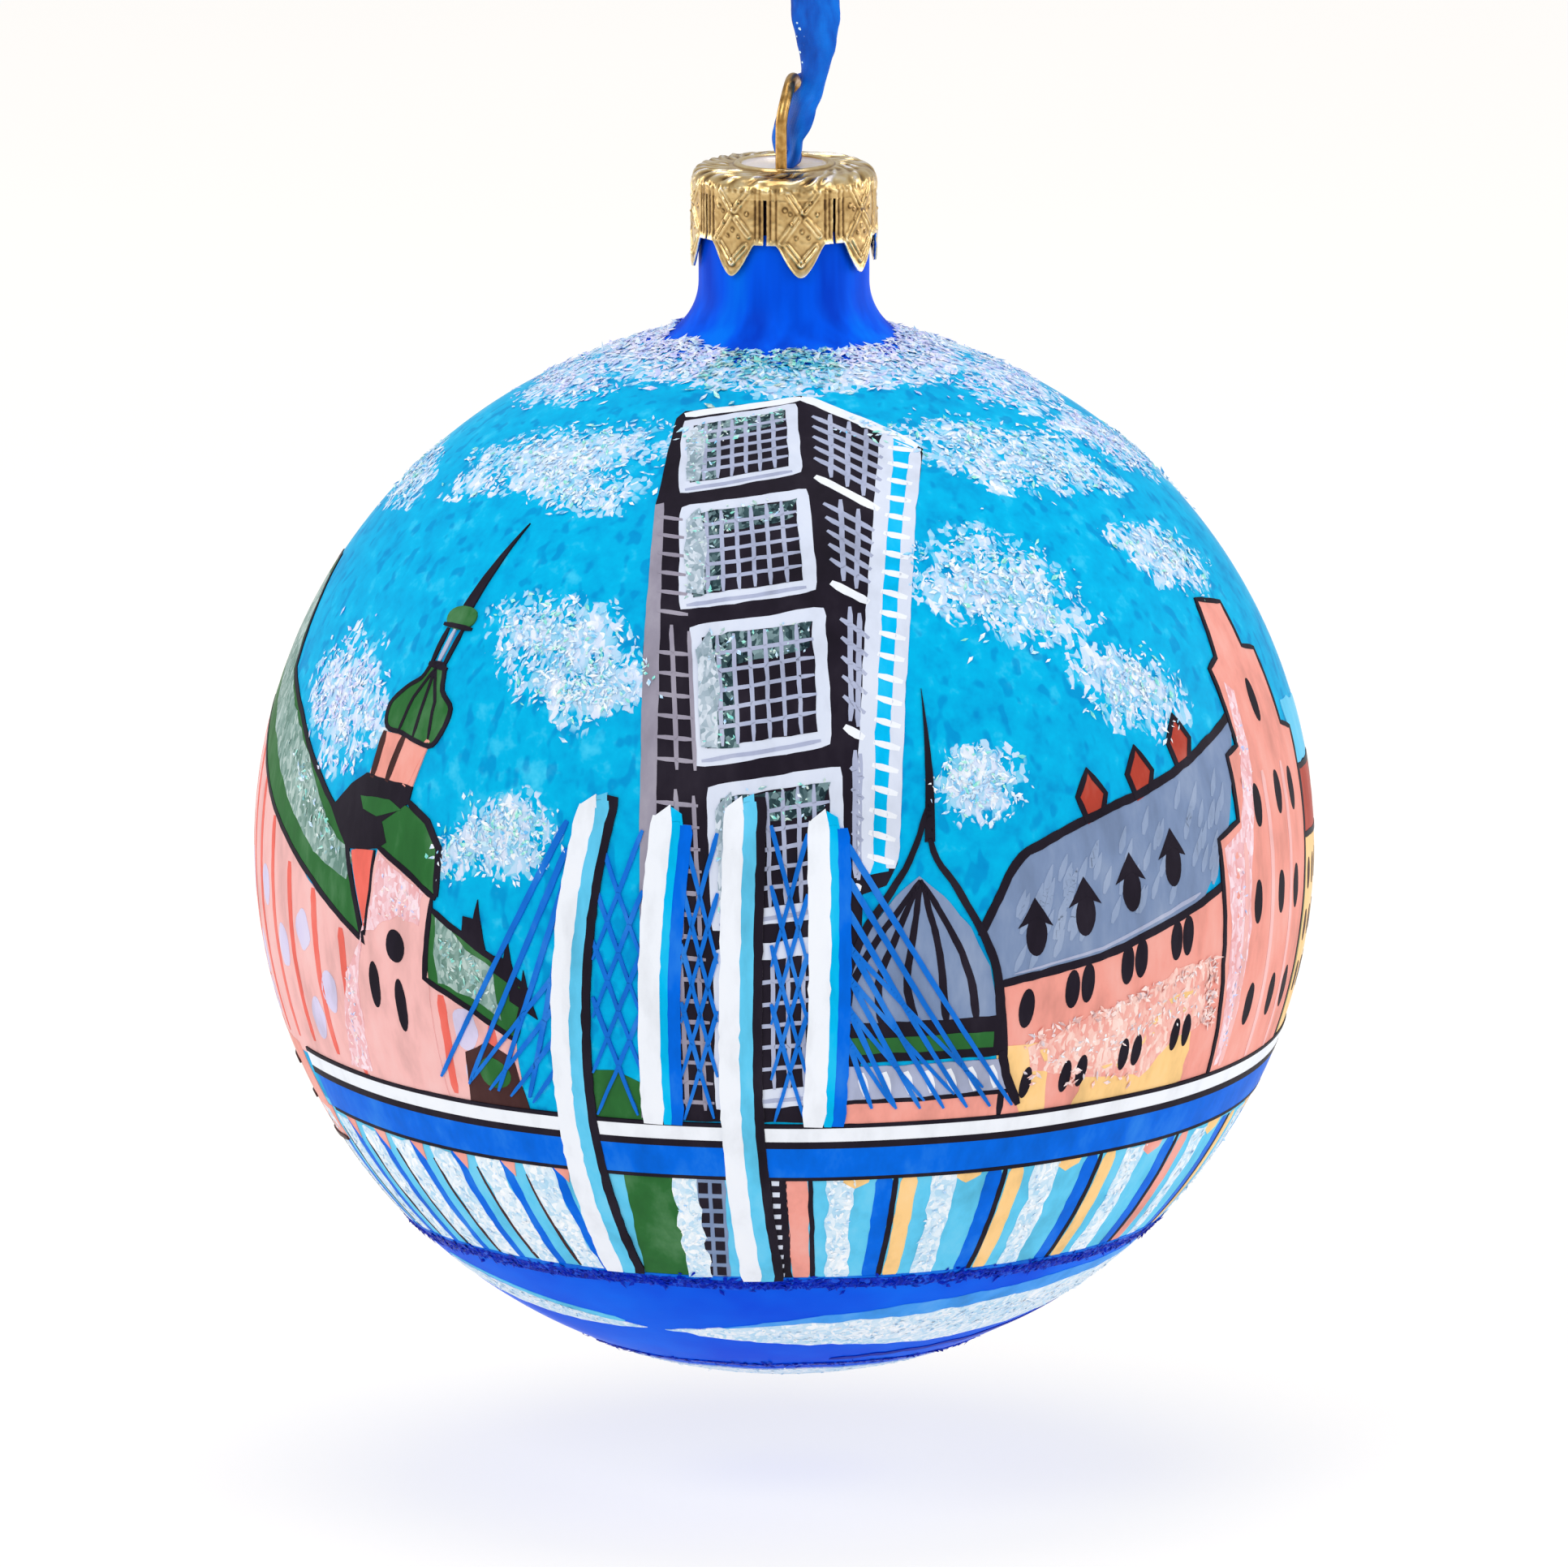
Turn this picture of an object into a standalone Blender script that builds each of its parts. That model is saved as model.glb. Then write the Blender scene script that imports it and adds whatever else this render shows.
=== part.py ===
"""Souvenir glass ball ornament: a blown ball with a neck, a crown cap, a sprung wire hanger and a ribbon loop.

Metres, +Z up. The origin is the hang point, inside the top of the ribbon loop and just under its knot.
The ball hangs down along -Z, and the painted front faces -Y. Heights named *_H are measured from the
ball's centre, and up() turns one into a Z value.
"""

import math

import bmesh
import bpy
from mathutils import Matrix, Vector

MM = 0.001

# Ball and neck
BALL_R = 50.0 * MM
GLASS_WALL = 1.0 * MM
NECK_R = 8.05 * MM
NECK_TOP_H = 63.4 * MM
FLARE_R = 6.0 * MM  # concave fillet between the neck and the ball

# Crown cap
CAP_PANELS = 8
CAP_R = 8.7 * MM
CAP_SHEET = 0.25 * MM
CAP_TOP_H = 65.3 * MM
CAP_SHOULDER_R = 1.3 * MM
SKIRT_END_H = 58.9 * MM
TIP_END_H = 55.8 * MM
TIP_BASE = 4.6 * MM
SLIT = 0.32 * MM
SLIT_ANGLE = math.radians(-12.0)  # one slit, counted from the front towards +X
DISC_R = 3.8 * MM
DISC_DROP = 0.25 * MM  # the disc's flat, below the cap's top
LIP_R = 4.65 * MM
LIP_RISE = 0.1 * MM  # the lip around the disc, above the cap's top
LIP_SLOPE = 0.25 * MM
RING_FALL = 0.15 * MM  # how far the ring slopes down from the lip to the shoulder
WIRE_HOLE_R = 0.88 * MM
SLIT_TOP_H = 63.2 * MM
NOTCH_TIP = ((0.75, 0.65), (0.35, 0.18), (-0.1, 0.02))  # a tip's outline: mm from its middle, mm above its end
CUT_DEPTH = (0.75, 1.2)  # where a notch's cutter starts and ends, as parts of the cap's radius

# Wire hanger
WIRE_R = 0.55 * MM
ARCH_TOP_H = 73.35 * MM  # centre of the wire at the top of the arch
ARCH_HALF = 3.75 * MM  # centre of the wire, to each side
LEG_SPLAY = 6.05 * MM
# One leg from its free end up, as (fraction of the way from the arch's half width to the splay, height)
LEG = ((1.0, 44.0), (0.89, 48.5), (0.59, 55.0), (0.08, 59.8), (0.0, 61.0))
RING_YAW = math.radians(14.5)  # the arch's plane, turned from the front-to-back plane

# Ribbon
LOOP_DROP = 55.0 * MM  # hang point down to the top of the arch
RIBBON_THICK = 0.4 * MM
GATHERED_WIDTH = 3.0 * MM  # where the ribbon is pinched together inside the arch
GATHERED_THICK = 0.6 * MM
BIGHT_HALF = 1.25 * MM
BIGHT_LOW_H = 66.35 * MM
BIGHT_RISE = 3.3 * MM  # how far the gathered part reaches above the arch's centre
KNOT_SIZE = (8.4 * MM, 5.2 * MM, 6.0 * MM)
KNOT_HEIGHT = 2.9 * MM

# Each strand's middle line from the knot down, as (x, y, z, width, twist in degrees). Twist 0 is
# a strand seen flat from the front, and 90 one that lies edge on.
FRONT_STRAND = (
    (0.0, -0.75, -0.1, 4.2, 0),
    (0.5, -2.4, -4.0, 5.2, 0),
    (1.3, -5.2, -12.0, 6.0, 0),
    (2.2, -6.8, -22.0, 6.0, 4),
    (2.8, -6.4, -32.0, 6.0, 8),
    (3.0, -4.8, -41.0, 5.6, 14),
    (2.6, -3.0, -47.0, 4.6, 32),
    (2.2, -2.0, -50.5, 3.2, 58),
)
BACK_STRAND = (
    (0.0, 0.75, -0.1, 4.2, 0),
    (0.3, 2.4, -4.0, 5.2, 0),
    (0.8, 5.2, -12.0, 6.0, 0),
    (1.4, 6.9, -22.0, 6.0, 4),
    (1.9, 6.6, -32.0, 6.0, 8),
    (2.1, 5.0, -41.0, 5.6, 14),
    (1.5, 3.2, -47.0, 4.6, 32),
    (0.6, 2.2, -50.5, 3.2, 58),
)
# Each tail's middle line from the knot outwards.
LEFT_TAIL = (
    (-1.6, 0.5, 5.8, 4.2, 0),
    (-3.0, 0.8, 8.4, 5.2, -6),
    (-5.2, 0.9, 12.4, 5.6, -12),
    (-8.2, 0.4, 16.2, 5.6, -18),
)
RIGHT_TAIL = (
    (1.6, -0.5, 5.8, 4.2, 0),
    (3.1, -0.9, 8.6, 5.2, 6),
    (4.9, -1.1, 13.0, 5.6, 10),
    (6.1, -1.6, 17.8, 5.6, 14),
)

ARCH_Z = -LOOP_DROP
BALL_Z = ARCH_Z - ARCH_TOP_H
RING_DIR = Vector((math.sin(RING_YAW), math.cos(RING_YAW), 0.0))
RING_NORMAL = Vector((math.cos(RING_YAW), -math.sin(RING_YAW), 0.0))


def up(height):
    """Z of a height above the ball's centre."""
    return BALL_Z + height


def clear_scene():
    for obj in list(bpy.data.objects):
        bpy.data.objects.remove(obj, do_unlink=True)


def new_collection(name):
    collection = bpy.data.collections.new(name)
    bpy.context.scene.collection.children.link(collection)
    return collection


def make_material(name, colour, roughness, metallic=0.0):
    material = bpy.data.materials.new(name)
    material.use_nodes = True
    shader = material.node_tree.nodes["Principled BSDF"]
    shader.inputs["Base Color"].default_value = (*colour, 1.0)
    shader.inputs["Roughness"].default_value = roughness
    shader.inputs["Metallic"].default_value = metallic
    return material


def add_object(name, data, collection, material=None):
    obj = bpy.data.objects.new(name, data)
    collection.objects.link(obj)
    if material:
        data.materials.append(material)
    return obj


def mesh_from(name, bm):
    mesh = bpy.data.meshes.new(name)
    bm.to_mesh(mesh)
    bm.free()
    return mesh


def arc(centre_r, centre_h, radius, start, end, steps):
    """Points of a circular arc in the (radius, height) plane, angles in degrees from the radius axis."""
    points = []
    for i in range(steps + 1):
        angle = math.radians(start + (end - start) * i / steps)
        points.append((centre_r + radius * math.cos(angle), centre_h + radius * math.sin(angle)))
    return points


def turned_shell(name, profile, wall, steps, collection, material):
    """An open profile of (radius, height) points, top to bottom down its outer side, turned and thickened."""
    bm = bmesh.new()
    verts = [bm.verts.new((radius, 0.0, up(height))) for radius, height in profile]
    for first, second in zip(verts, verts[1:]):
        bm.edges.new((first, second))
    obj = add_object(name, mesh_from(name, bm), collection, material)
    screw = obj.modifiers.new("turn", "SCREW")
    screw.steps = steps
    screw.render_steps = steps
    screw.use_merge_vertices = True
    screw.merge_threshold = 0.00001
    shell = obj.modifiers.new("wall", "SOLIDIFY")
    shell.thickness = wall
    shell.offset = -1.0
    return obj


def ball_profile():
    """Neck mouth, neck, concave flare, then the sphere down to its bottom."""
    fillet_r = NECK_R + FLARE_R
    fillet_h = math.sqrt((BALL_R + FLARE_R) ** 2 - fillet_r**2)
    meet = math.degrees(math.atan2(fillet_h, fillet_r))
    points = [(NECK_R, NECK_TOP_H), (NECK_R, 0.5 * (NECK_TOP_H + fillet_h))]
    points += arc(fillet_r, fillet_h, FLARE_R, 180.0, 180.0 + meet, 6)
    points += arc(0.0, 0.0, BALL_R, meet, -90.0, 22)[1:-1]
    points.append((0.0, -BALL_R))
    return points


def cap_profile():
    """Flat disc, raised lip, sloping ring, rounded shoulder and skirt."""
    disc_h = CAP_TOP_H - DISC_DROP
    lip_h = CAP_TOP_H + LIP_RISE
    shoulder_r = CAP_R - CAP_SHOULDER_R
    shoulder_h = CAP_TOP_H - RING_FALL - CAP_SHOULDER_R
    points = [(0.0, disc_h), (DISC_R, disc_h), (DISC_R + LIP_SLOPE, lip_h), (LIP_R - 0.5 * LIP_SLOPE, lip_h)]
    points.append((LIP_R + 0.5 * LIP_SLOPE, CAP_TOP_H))
    points += arc(shoulder_r, shoulder_h, CAP_SHOULDER_R, 90.0, 0.0, 5)
    points.append((CAP_R, SKIRT_END_H))
    points.append((CAP_R, TIP_END_H))
    return points


def notch_outline():
    """What is cut away between two panels: the slit, and the space between two pointed tips."""
    half_panel = math.pi * CAP_R / CAP_PANELS
    side = [(0.5 * SLIT, SLIT_TOP_H), (0.5 * SLIT, SKIRT_END_H), (half_panel - 0.5 * TIP_BASE, SKIRT_END_H)]
    side += [(half_panel - aside * MM, TIP_END_H + rise * MM) for aside, rise in NOTCH_TIP]
    side.append((side[-1][0], TIP_END_H - CAP_SHEET))
    return side + [(-across, height) for across, height in reversed(side)]


def notch_cutter(index, collection):
    bm = bmesh.new()
    near, far = (part * CAP_R for part in CUT_DEPTH)
    outline = notch_outline()
    inner = [bm.verts.new((across, -near, up(height))) for across, height in outline]
    face = bm.faces.new(inner)
    pushed = bmesh.ops.extrude_face_region(bm, geom=[face])
    moved = [item for item in pushed["geom"] if isinstance(item, bmesh.types.BMVert)]
    bmesh.ops.translate(bm, verts=moved, vec=(0.0, near - far, 0.0))
    bmesh.ops.recalc_face_normals(bm, faces=bm.faces)
    cutter = add_object(f"notch_cutter_{index}", mesh_from("notch_cutter", bm), collection)
    cutter.rotation_euler.z = SLIT_ANGLE + 2.0 * math.pi * index / CAP_PANELS
    return cutter


def hole_cutter(side, collection):
    bm = bmesh.new()
    bmesh.ops.create_cone(
        bm,
        cap_ends=True,
        segments=20,
        radius1=WIRE_HOLE_R,
        radius2=WIRE_HOLE_R,
        depth=2.0 * CAP_SHOULDER_R,
        matrix=Matrix.Translation((0.0, 0.0, up(CAP_TOP_H))),
    )
    cutter = add_object(f"wire_hole_cutter_{side}", mesh_from("wire_hole_cutter", bm), collection)
    cutter.location = RING_DIR * ARCH_HALF * (-1 if side == "front" else 1)
    return cutter


def cut(obj, cutters):
    for cutter in cutters:
        cutter.hide_render = True
        cutter.display_type = "WIRE"
        boolean = obj.modifiers.new(cutter.name, "BOOLEAN")
        boolean.operation = "DIFFERENCE"
        boolean.solver = "EXACT"
        boolean.object = cutter


def hanger_route():
    """Middle line of the wire, from one sprung leg's end over the arch to the other's, as (along the ring, height)."""
    leg = [(ARCH_HALF + part * (LEG_SPLAY - ARCH_HALF), height * MM) for part, height in LEG]
    arch = arc(0.0, ARCH_TOP_H - ARCH_HALF, ARCH_HALF, 0.0, 180.0, 14)
    return leg + arch + [(-along, height) for along, height in reversed(leg)]


def wire_hanger(collection, material):
    curve = bpy.data.curves.new("wire_hanger", "CURVE")
    curve.dimensions = "3D"
    curve.bevel_depth = WIRE_R
    curve.bevel_resolution = 2
    curve.use_fill_caps = True
    route = hanger_route()
    spline = curve.splines.new("POLY")
    spline.points.add(len(route) - 1)
    for point, (along, height) in zip(spline.points, route):
        place = RING_DIR * along
        point.co = (place.x, place.y, height - ARCH_TOP_H, 1.0)
    obj = add_object("wire_hanger", curve, collection, material)
    obj.location.z = ARCH_Z
    return obj


def smooth_route(stations, steps):
    """A Catmull-Rom curve through the stations, with every number of a station eased along with it."""
    rows = [Vector(row) for row in stations]
    rows = [2 * rows[0] - rows[1], *rows, 2 * rows[-1] - rows[-2]]
    points = []
    for before, start, end, after in zip(rows, rows[1:], rows[2:], rows[3:]):
        for i in range(steps):
            t = i / steps
            point = 2 * start + (end - before) * t
            point += (2 * before - 5 * start + 4 * end - after) * t * t
            point += (3 * start - before - 3 * end + after) * t * t * t
            points.append(0.5 * point)
    points.append(rows[-2])
    return points


def strip(name, rows, thick, collection, material):
    """A flat band through rows of (left edge, right edge), thickened to both sides."""
    bm = bmesh.new()
    edges = [(bm.verts.new(left), bm.verts.new(right)) for left, right in rows]
    for (left, right), (next_left, next_right) in zip(edges, edges[1:]):
        bm.faces.new((left, right, next_right, next_left))
    obj = add_object(name, mesh_from(name, bm), collection, material)
    wall = obj.modifiers.new("thickness", "SOLIDIFY")
    wall.thickness = thick
    wall.offset = 0.0
    return obj


def ribbon_strand(name, stations, collection, material):
    """A length of ribbon along stations of (x, y, z, width, twist), given in millimetres and degrees."""
    rows = []
    for x, y, z, width, twist in smooth_strand(stations):
        angle = math.radians(twist)
        across = Vector((math.cos(angle), -math.sin(angle), 0.0)) * 0.5 * width * MM
        middle = Vector((x, y, z)) * MM
        rows.append((middle - across, middle + across))
    return strip(name, rows, RIBBON_THICK, collection, material)


def smooth_strand(stations):
    places = smooth_route([row[:3] for row in stations], 3)
    sizes = smooth_route([(row[3], row[4], 0.0) for row in stations], 3)
    return [(*place, size[0], size[1]) for place, size in zip(places, sizes)]


def ribbon_bight(collection, material):
    """The gathered part of the ribbon: down one side of the arch, through it just above the cap, and up again."""
    low = BIGHT_LOW_H - ARCH_TOP_H + 0.5 * GATHERED_THICK
    side = [(BIGHT_HALF + 0.15 * MM, BIGHT_RISE), (BIGHT_HALF, 0.0), (BIGHT_HALF, low + BIGHT_HALF)]
    turn = arc(0.0, low + BIGHT_HALF, BIGHT_HALF, 0.0, -180.0, 8)[1:]
    route = side + turn + [(-side[1][0], side[1][1]), (-side[0][0], side[0][1])]
    across = RING_DIR * 0.5 * GATHERED_WIDTH
    rows = []
    for out, rise in route:
        middle = RING_NORMAL * out + Vector((0.0, 0.0, rise))
        rows.append((middle - across, middle + across))
    obj = strip("ribbon_bight", rows, GATHERED_THICK, collection, material)
    obj.location.z = ARCH_Z
    return obj


def ribbon_knot(collection, material):
    """The tight lump of the overhand knot that closes the loop, rounded and wider than it is deep."""
    bm = bmesh.new()
    bmesh.ops.create_cube(bm, size=1.0)
    bmesh.ops.scale(bm, vec=KNOT_SIZE, verts=bm.verts)
    obj = add_object("ribbon_knot", mesh_from("ribbon_knot", bm), collection, material)
    obj.location.z = KNOT_HEIGHT
    rounding = obj.modifiers.new("rounding", "SUBSURF")
    rounding.levels = 2
    rounding.render_levels = 2
    return obj


def main():
    clear_scene()
    parts = new_collection("souvenir_ball_ornament")
    cutters = new_collection("cutters")

    painted_glass = make_material("painted_glass", (0.0, 0.42, 0.75), 0.25)
    gold_cap = make_material("gold_cap", (0.83, 0.62, 0.32), 0.28, 1.0)
    brass_wire = make_material("brass_wire", (0.62, 0.43, 0.2), 0.35, 1.0)
    blue_satin = make_material("blue_satin", (0.0, 0.06, 0.48), 0.45)

    turned_shell("glass_ball", ball_profile(), GLASS_WALL, 48, parts, painted_glass)
    cap = turned_shell("crown_cap", cap_profile(), CAP_SHEET, 48, parts, gold_cap)
    notches = [notch_cutter(index, cutters) for index in range(CAP_PANELS)]
    cut(cap, notches + [hole_cutter(side, cutters) for side in ("front", "back")])
    wire_hanger(parts, brass_wire)

    ribbon_bight(parts, blue_satin)
    ribbon_strand("ribbon_strand_front", FRONT_STRAND, parts, blue_satin)
    ribbon_strand("ribbon_strand_back", BACK_STRAND, parts, blue_satin)
    ribbon_knot(parts, blue_satin)
    ribbon_strand("ribbon_tail_left", LEFT_TAIL, parts, blue_satin)
    ribbon_strand("ribbon_tail_right", RIGHT_TAIL, parts, blue_satin)


main()
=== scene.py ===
"""Looks of the souvenir glass ball: painted, glittered glass, gold cap, brass wire and satin ribbon."""

import functools
import math
import random

import bmesh
import bpy
import numpy as np
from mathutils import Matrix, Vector, geometry, noise


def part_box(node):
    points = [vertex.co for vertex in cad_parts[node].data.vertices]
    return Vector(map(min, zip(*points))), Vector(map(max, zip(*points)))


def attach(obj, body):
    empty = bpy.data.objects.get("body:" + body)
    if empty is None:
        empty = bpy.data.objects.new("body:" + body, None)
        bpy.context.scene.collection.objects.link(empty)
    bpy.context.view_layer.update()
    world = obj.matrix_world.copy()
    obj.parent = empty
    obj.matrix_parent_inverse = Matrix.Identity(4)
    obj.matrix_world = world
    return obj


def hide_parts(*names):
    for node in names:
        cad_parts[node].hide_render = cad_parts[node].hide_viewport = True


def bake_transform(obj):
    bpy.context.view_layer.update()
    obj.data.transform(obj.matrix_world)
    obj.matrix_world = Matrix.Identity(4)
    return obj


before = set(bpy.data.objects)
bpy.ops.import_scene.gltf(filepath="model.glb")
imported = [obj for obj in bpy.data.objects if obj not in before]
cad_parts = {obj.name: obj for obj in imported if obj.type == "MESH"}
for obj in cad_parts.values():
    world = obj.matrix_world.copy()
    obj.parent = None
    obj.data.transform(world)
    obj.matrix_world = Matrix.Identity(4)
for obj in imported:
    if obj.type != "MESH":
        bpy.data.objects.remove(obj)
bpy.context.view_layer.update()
random.seed(11)
noise.seed_set(11)

MM = 0.001
BALL_LOW, BALL_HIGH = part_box("glass_ball")
BALL_R = 0.5 * (BALL_HIGH.x - BALL_LOW.x)
BALL_Z = BALL_LOW.z + BALL_R


def up(height):
    """Z of a height in millimetres above the ball's centre."""
    return BALL_Z + height * MM


# ---------------------------------------------------------------- camera, light and floor

CAMERA_RISE = math.radians(11.0)
CAMERA_FAR = 3.0
FRAME_WIDTH = 0.1482
AIM_ABOVE = 5.7 * MM
SENSOR = 36.0
FLOOR_Z = BALL_LOW.z - 10.6 * MM

image_up = Vector((0.0, math.sin(CAMERA_RISE), math.cos(CAMERA_RISE)))
away = Vector((0.0, -math.cos(CAMERA_RISE), math.sin(CAMERA_RISE)))
aim = Vector((0.0, 0.0, BALL_Z)) + image_up * AIM_ABOVE


def add_object(name, data):
    """A new object in the scene."""
    made = bpy.data.objects.new(name, data)
    bpy.context.scene.collection.objects.link(made)
    return made


camera = add_object("camera", bpy.data.cameras.new("camera"))
camera.location = aim + away * CAMERA_FAR
camera.rotation_euler = (-away).to_track_quat("-Z", "Y").to_euler()
camera.data.sensor_width = SENSOR
camera.data.lens = SENSOR * CAMERA_FAR / FRAME_WIDTH
camera.data.clip_end = 100.0
bpy.context.scene.camera = camera
bpy.context.scene.view_settings.view_transform = "Standard"


def linear(colour):
    """Linear light with alpha, from a grey of 0 to 1, an sRGB colour of 0 to 255 or four linear parts."""
    if isinstance(colour, float):
        return (colour, colour, colour, 1.0)
    if len(colour) == 4:
        return colour
    parts = [c / 255 for c in colour]
    return (*[((c + 0.055) / 1.055) ** 2.4 if c > 0.04045 else c / 12.92 for c in parts], 1.0)


class Signal:
    """A value in a material's node tree, with which sums and comparisons are written."""

    def __init__(self, look, socket):
        self.look, self.socket = look, socket

    def maths(self, operation, *others):
        return self.look.node("Math", 0, dict(enumerate((self, *others))), operation=operation)

    def __add__(self, other):
        return self.maths("ADD", other)

    def __sub__(self, other):
        return self.maths("SUBTRACT", other)

    def __mul__(self, other):
        return self.maths("MULTIPLY", other)

    def __gt__(self, other):
        return self.maths("GREATER_THAN", other)

    def __lt__(self, other):
        return self.maths("LESS_THAN", other)

    def __abs__(self):
        return self.maths("ABSOLUTE")


class Look:
    """A material; its place is the coordinate that its textures read."""

    def __init__(self, name, **sockets):
        self.material = bpy.data.materials.new(name)
        self.material.use_nodes = True
        self.tree = self.material.node_tree
        self.place = self.node("TexCoord", "Object")
        self.set(**sockets)

    def plug(self, node, inputs):
        for socket, value in inputs.items():
            if isinstance(value, Signal):
                self.tree.links.new(value.socket, node.inputs[socket])
            else:
                node.inputs[socket].default_value = value

    def node(self, kind, output=0, inputs=None, **settings):
        """A new node's output, or a list of outputs where a tuple of them is asked for."""
        made = self.tree.nodes.new("ShaderNode" + kind)
        for name, value in settings.items():
            setattr(made, name, value)
        self.plug(made, inputs or {})
        if isinstance(output, tuple):
            return [Signal(self, made.outputs[each]) for each in output]
        return Signal(self, made.outputs[output])

    def set(self, **sockets):
        """Gives the shader's sockets a value or a signal each."""
        shader = self.tree.nodes["Principled BSDF"]
        self.plug(shader, {name.replace("_", " "): value for name, value in sockets.items()})

    def ramp(self, factor, *stops):
        """A colour ramp over stops of (place, colour)."""
        made = self.node("ValToRGB", "Color", {"Fac": factor})
        elements = made.socket.node.color_ramp.elements
        while len(elements) < len(stops):
            elements.new(0.5)
        for element, (at, colour) in zip(elements, stops):
            element.position = at
            element.color = linear(colour)
        return made

    def mix(self, factor, first, second, blend="MIX"):
        second = second if isinstance(second, Signal) else linear(second)
        return self.node("Mix", 2, {0: factor, 6: first, 7: second}, data_type="RGBA", blend_type=blend)

    def noise(self, scale, detail=2.0, rough=0.5, stretch=None):
        place = self.node("Mapping", 0, {"Vector": self.place, "Scale": stretch}) if stretch else self.place
        inputs = {"Vector": place, "Scale": scale, "Detail": detail, "Roughness": rough}
        return self.node("TexNoise", "Fac", inputs)

    def bump(self, height, distance, strength):
        """Relief of a distance in millimetres."""
        inputs = {"Height": height, "Distance": distance * MM, "Strength": strength}
        self.set(Normal=self.node("Bump", 0, inputs))


world = bpy.data.worlds.new("studio")
world.use_nodes = True
world.node_tree.nodes["Background"].inputs["Color"].default_value = (1.0, 1.0, 1.0, 1.0)
world.node_tree.nodes["Background"].inputs["Strength"].default_value = 0.55
bpy.context.scene.world = world


def soft_light(name, place, power, size):
    lamp = bpy.data.lights.new(name, "AREA")
    lamp.shape = "DISK"
    lamp.energy = power
    lamp.size = size
    obj = add_object(name, lamp)
    obj.location = place
    obj.rotation_euler = (Vector(place) - aim).to_track_quat("Z", "Y").to_euler()


soft_light("key_light", (-0.7, -1.0, 0.75), 5.2, 0.7)
soft_light("fill_light", (1.0, -0.6, 0.35), 2.9, 0.8)
soft_light("top_light", (0.0, 0.1, 1.1), 5.5, 0.9)
for side in (-1.0, 1.0):
    soft_light("side_light", (1.0 * side, 0.45, 0.05), 2.2, 0.5)

bm = bmesh.new()
bmesh.ops.create_circle(bm, cap_ends=True, segments=96, radius=20.0)
floor_mesh = bpy.data.meshes.new("floor")
bm.to_mesh(floor_mesh)
bm.free()
floor = add_object("floor", floor_mesh)
floor.location.z = FLOOR_Z
look = Look("pale_floor", Roughness=0.9, Emission_Strength=0.7, Specular_IOR_Level=0.05)
tint = look.ramp(look.noise(3.0), (0.3, 0.86), (0.7, 0.88))
look.set(Base_Color=look.mix(1.0, tint, (0.52, 0.49, 0.455, 1.0), "MULTIPLY"), Emission_Color=tint)
floor_mesh.materials.append(look.material)


# ---------------------------------------------------------------- shared mesh helpers


def add_piece(name, verts, faces, material, body, smooth=True):
    mesh = bpy.data.meshes.new(name)
    mesh.from_pydata(verts, [], faces)
    mesh.materials.append(material)
    if smooth:
        mesh.polygons.foreach_set("use_smooth", [True] * len(mesh.polygons))
    obj = add_object(name, mesh)
    if body:
        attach(obj, body)
    return obj


def thicken(obj, thickness, offset):
    """A sheet of a thickness in millimetres."""
    sheet = obj.modifiers.new("sheet", "SOLIDIFY")
    sheet.thickness = thickness * MM
    sheet.offset = offset


def point_values(obj, name, values):
    layer = obj.data.attributes.new(name, "FLOAT", "POINT")
    layer.data.foreach_set("value", values)


def unwrap(obj, uvs):
    """A UV for each vertex."""
    layer = obj.data.uv_layers.new(name="UVMap")
    for loop in obj.data.loops:
        layer.data[loop.index].uv = uvs[loop.vertex_index]


def smooth_route(stations, steps):
    """A Catmull-Rom curve through rows of numbers."""
    rows = [np.array(row, float) for row in stations]
    rows = [2 * rows[0] - rows[1], *rows, 2 * rows[-1] - rows[-2]]
    points = []
    for before, start, end, after in zip(rows, rows[1:], rows[2:], rows[3:]):
        for i in range(steps):
            t = i / steps
            point = 2 * start + (end - before) * t
            point = point + (2 * before - 5 * start + 4 * end - after) * t * t
            point = point + (3 * start - before - 3 * end + after) * t * t * t
            points.append(0.5 * point)
    points.append(rows[-2])
    return points


def unit(vector):
    return vector / np.linalg.norm(vector)


def arc(centre_r, centre_h, radius, start, end, steps):
    """Points of a circular arc in the (radius, height) plane, angles in degrees from the radius axis."""
    points = []
    for i in range(steps + 1):
        angle = math.radians(start + (end - start) * i / steps)
        points.append((centre_r + radius * math.cos(angle), centre_h + radius * math.sin(angle)))
    return points


# ---------------------------------------------------------------- ribbon

RING_YAW = math.radians(9.0)
RING_DIR = np.array((math.sin(RING_YAW), math.cos(RING_YAW), 0.0))
RIBBON_WIDTH = 6.0
RIBBON_SHEET = 0.26
RIBBON_COLUMNS = 24
WEFT_STEP = 0.16
WARP_STEP = 0.2
SELVEDGE = 0.22

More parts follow.
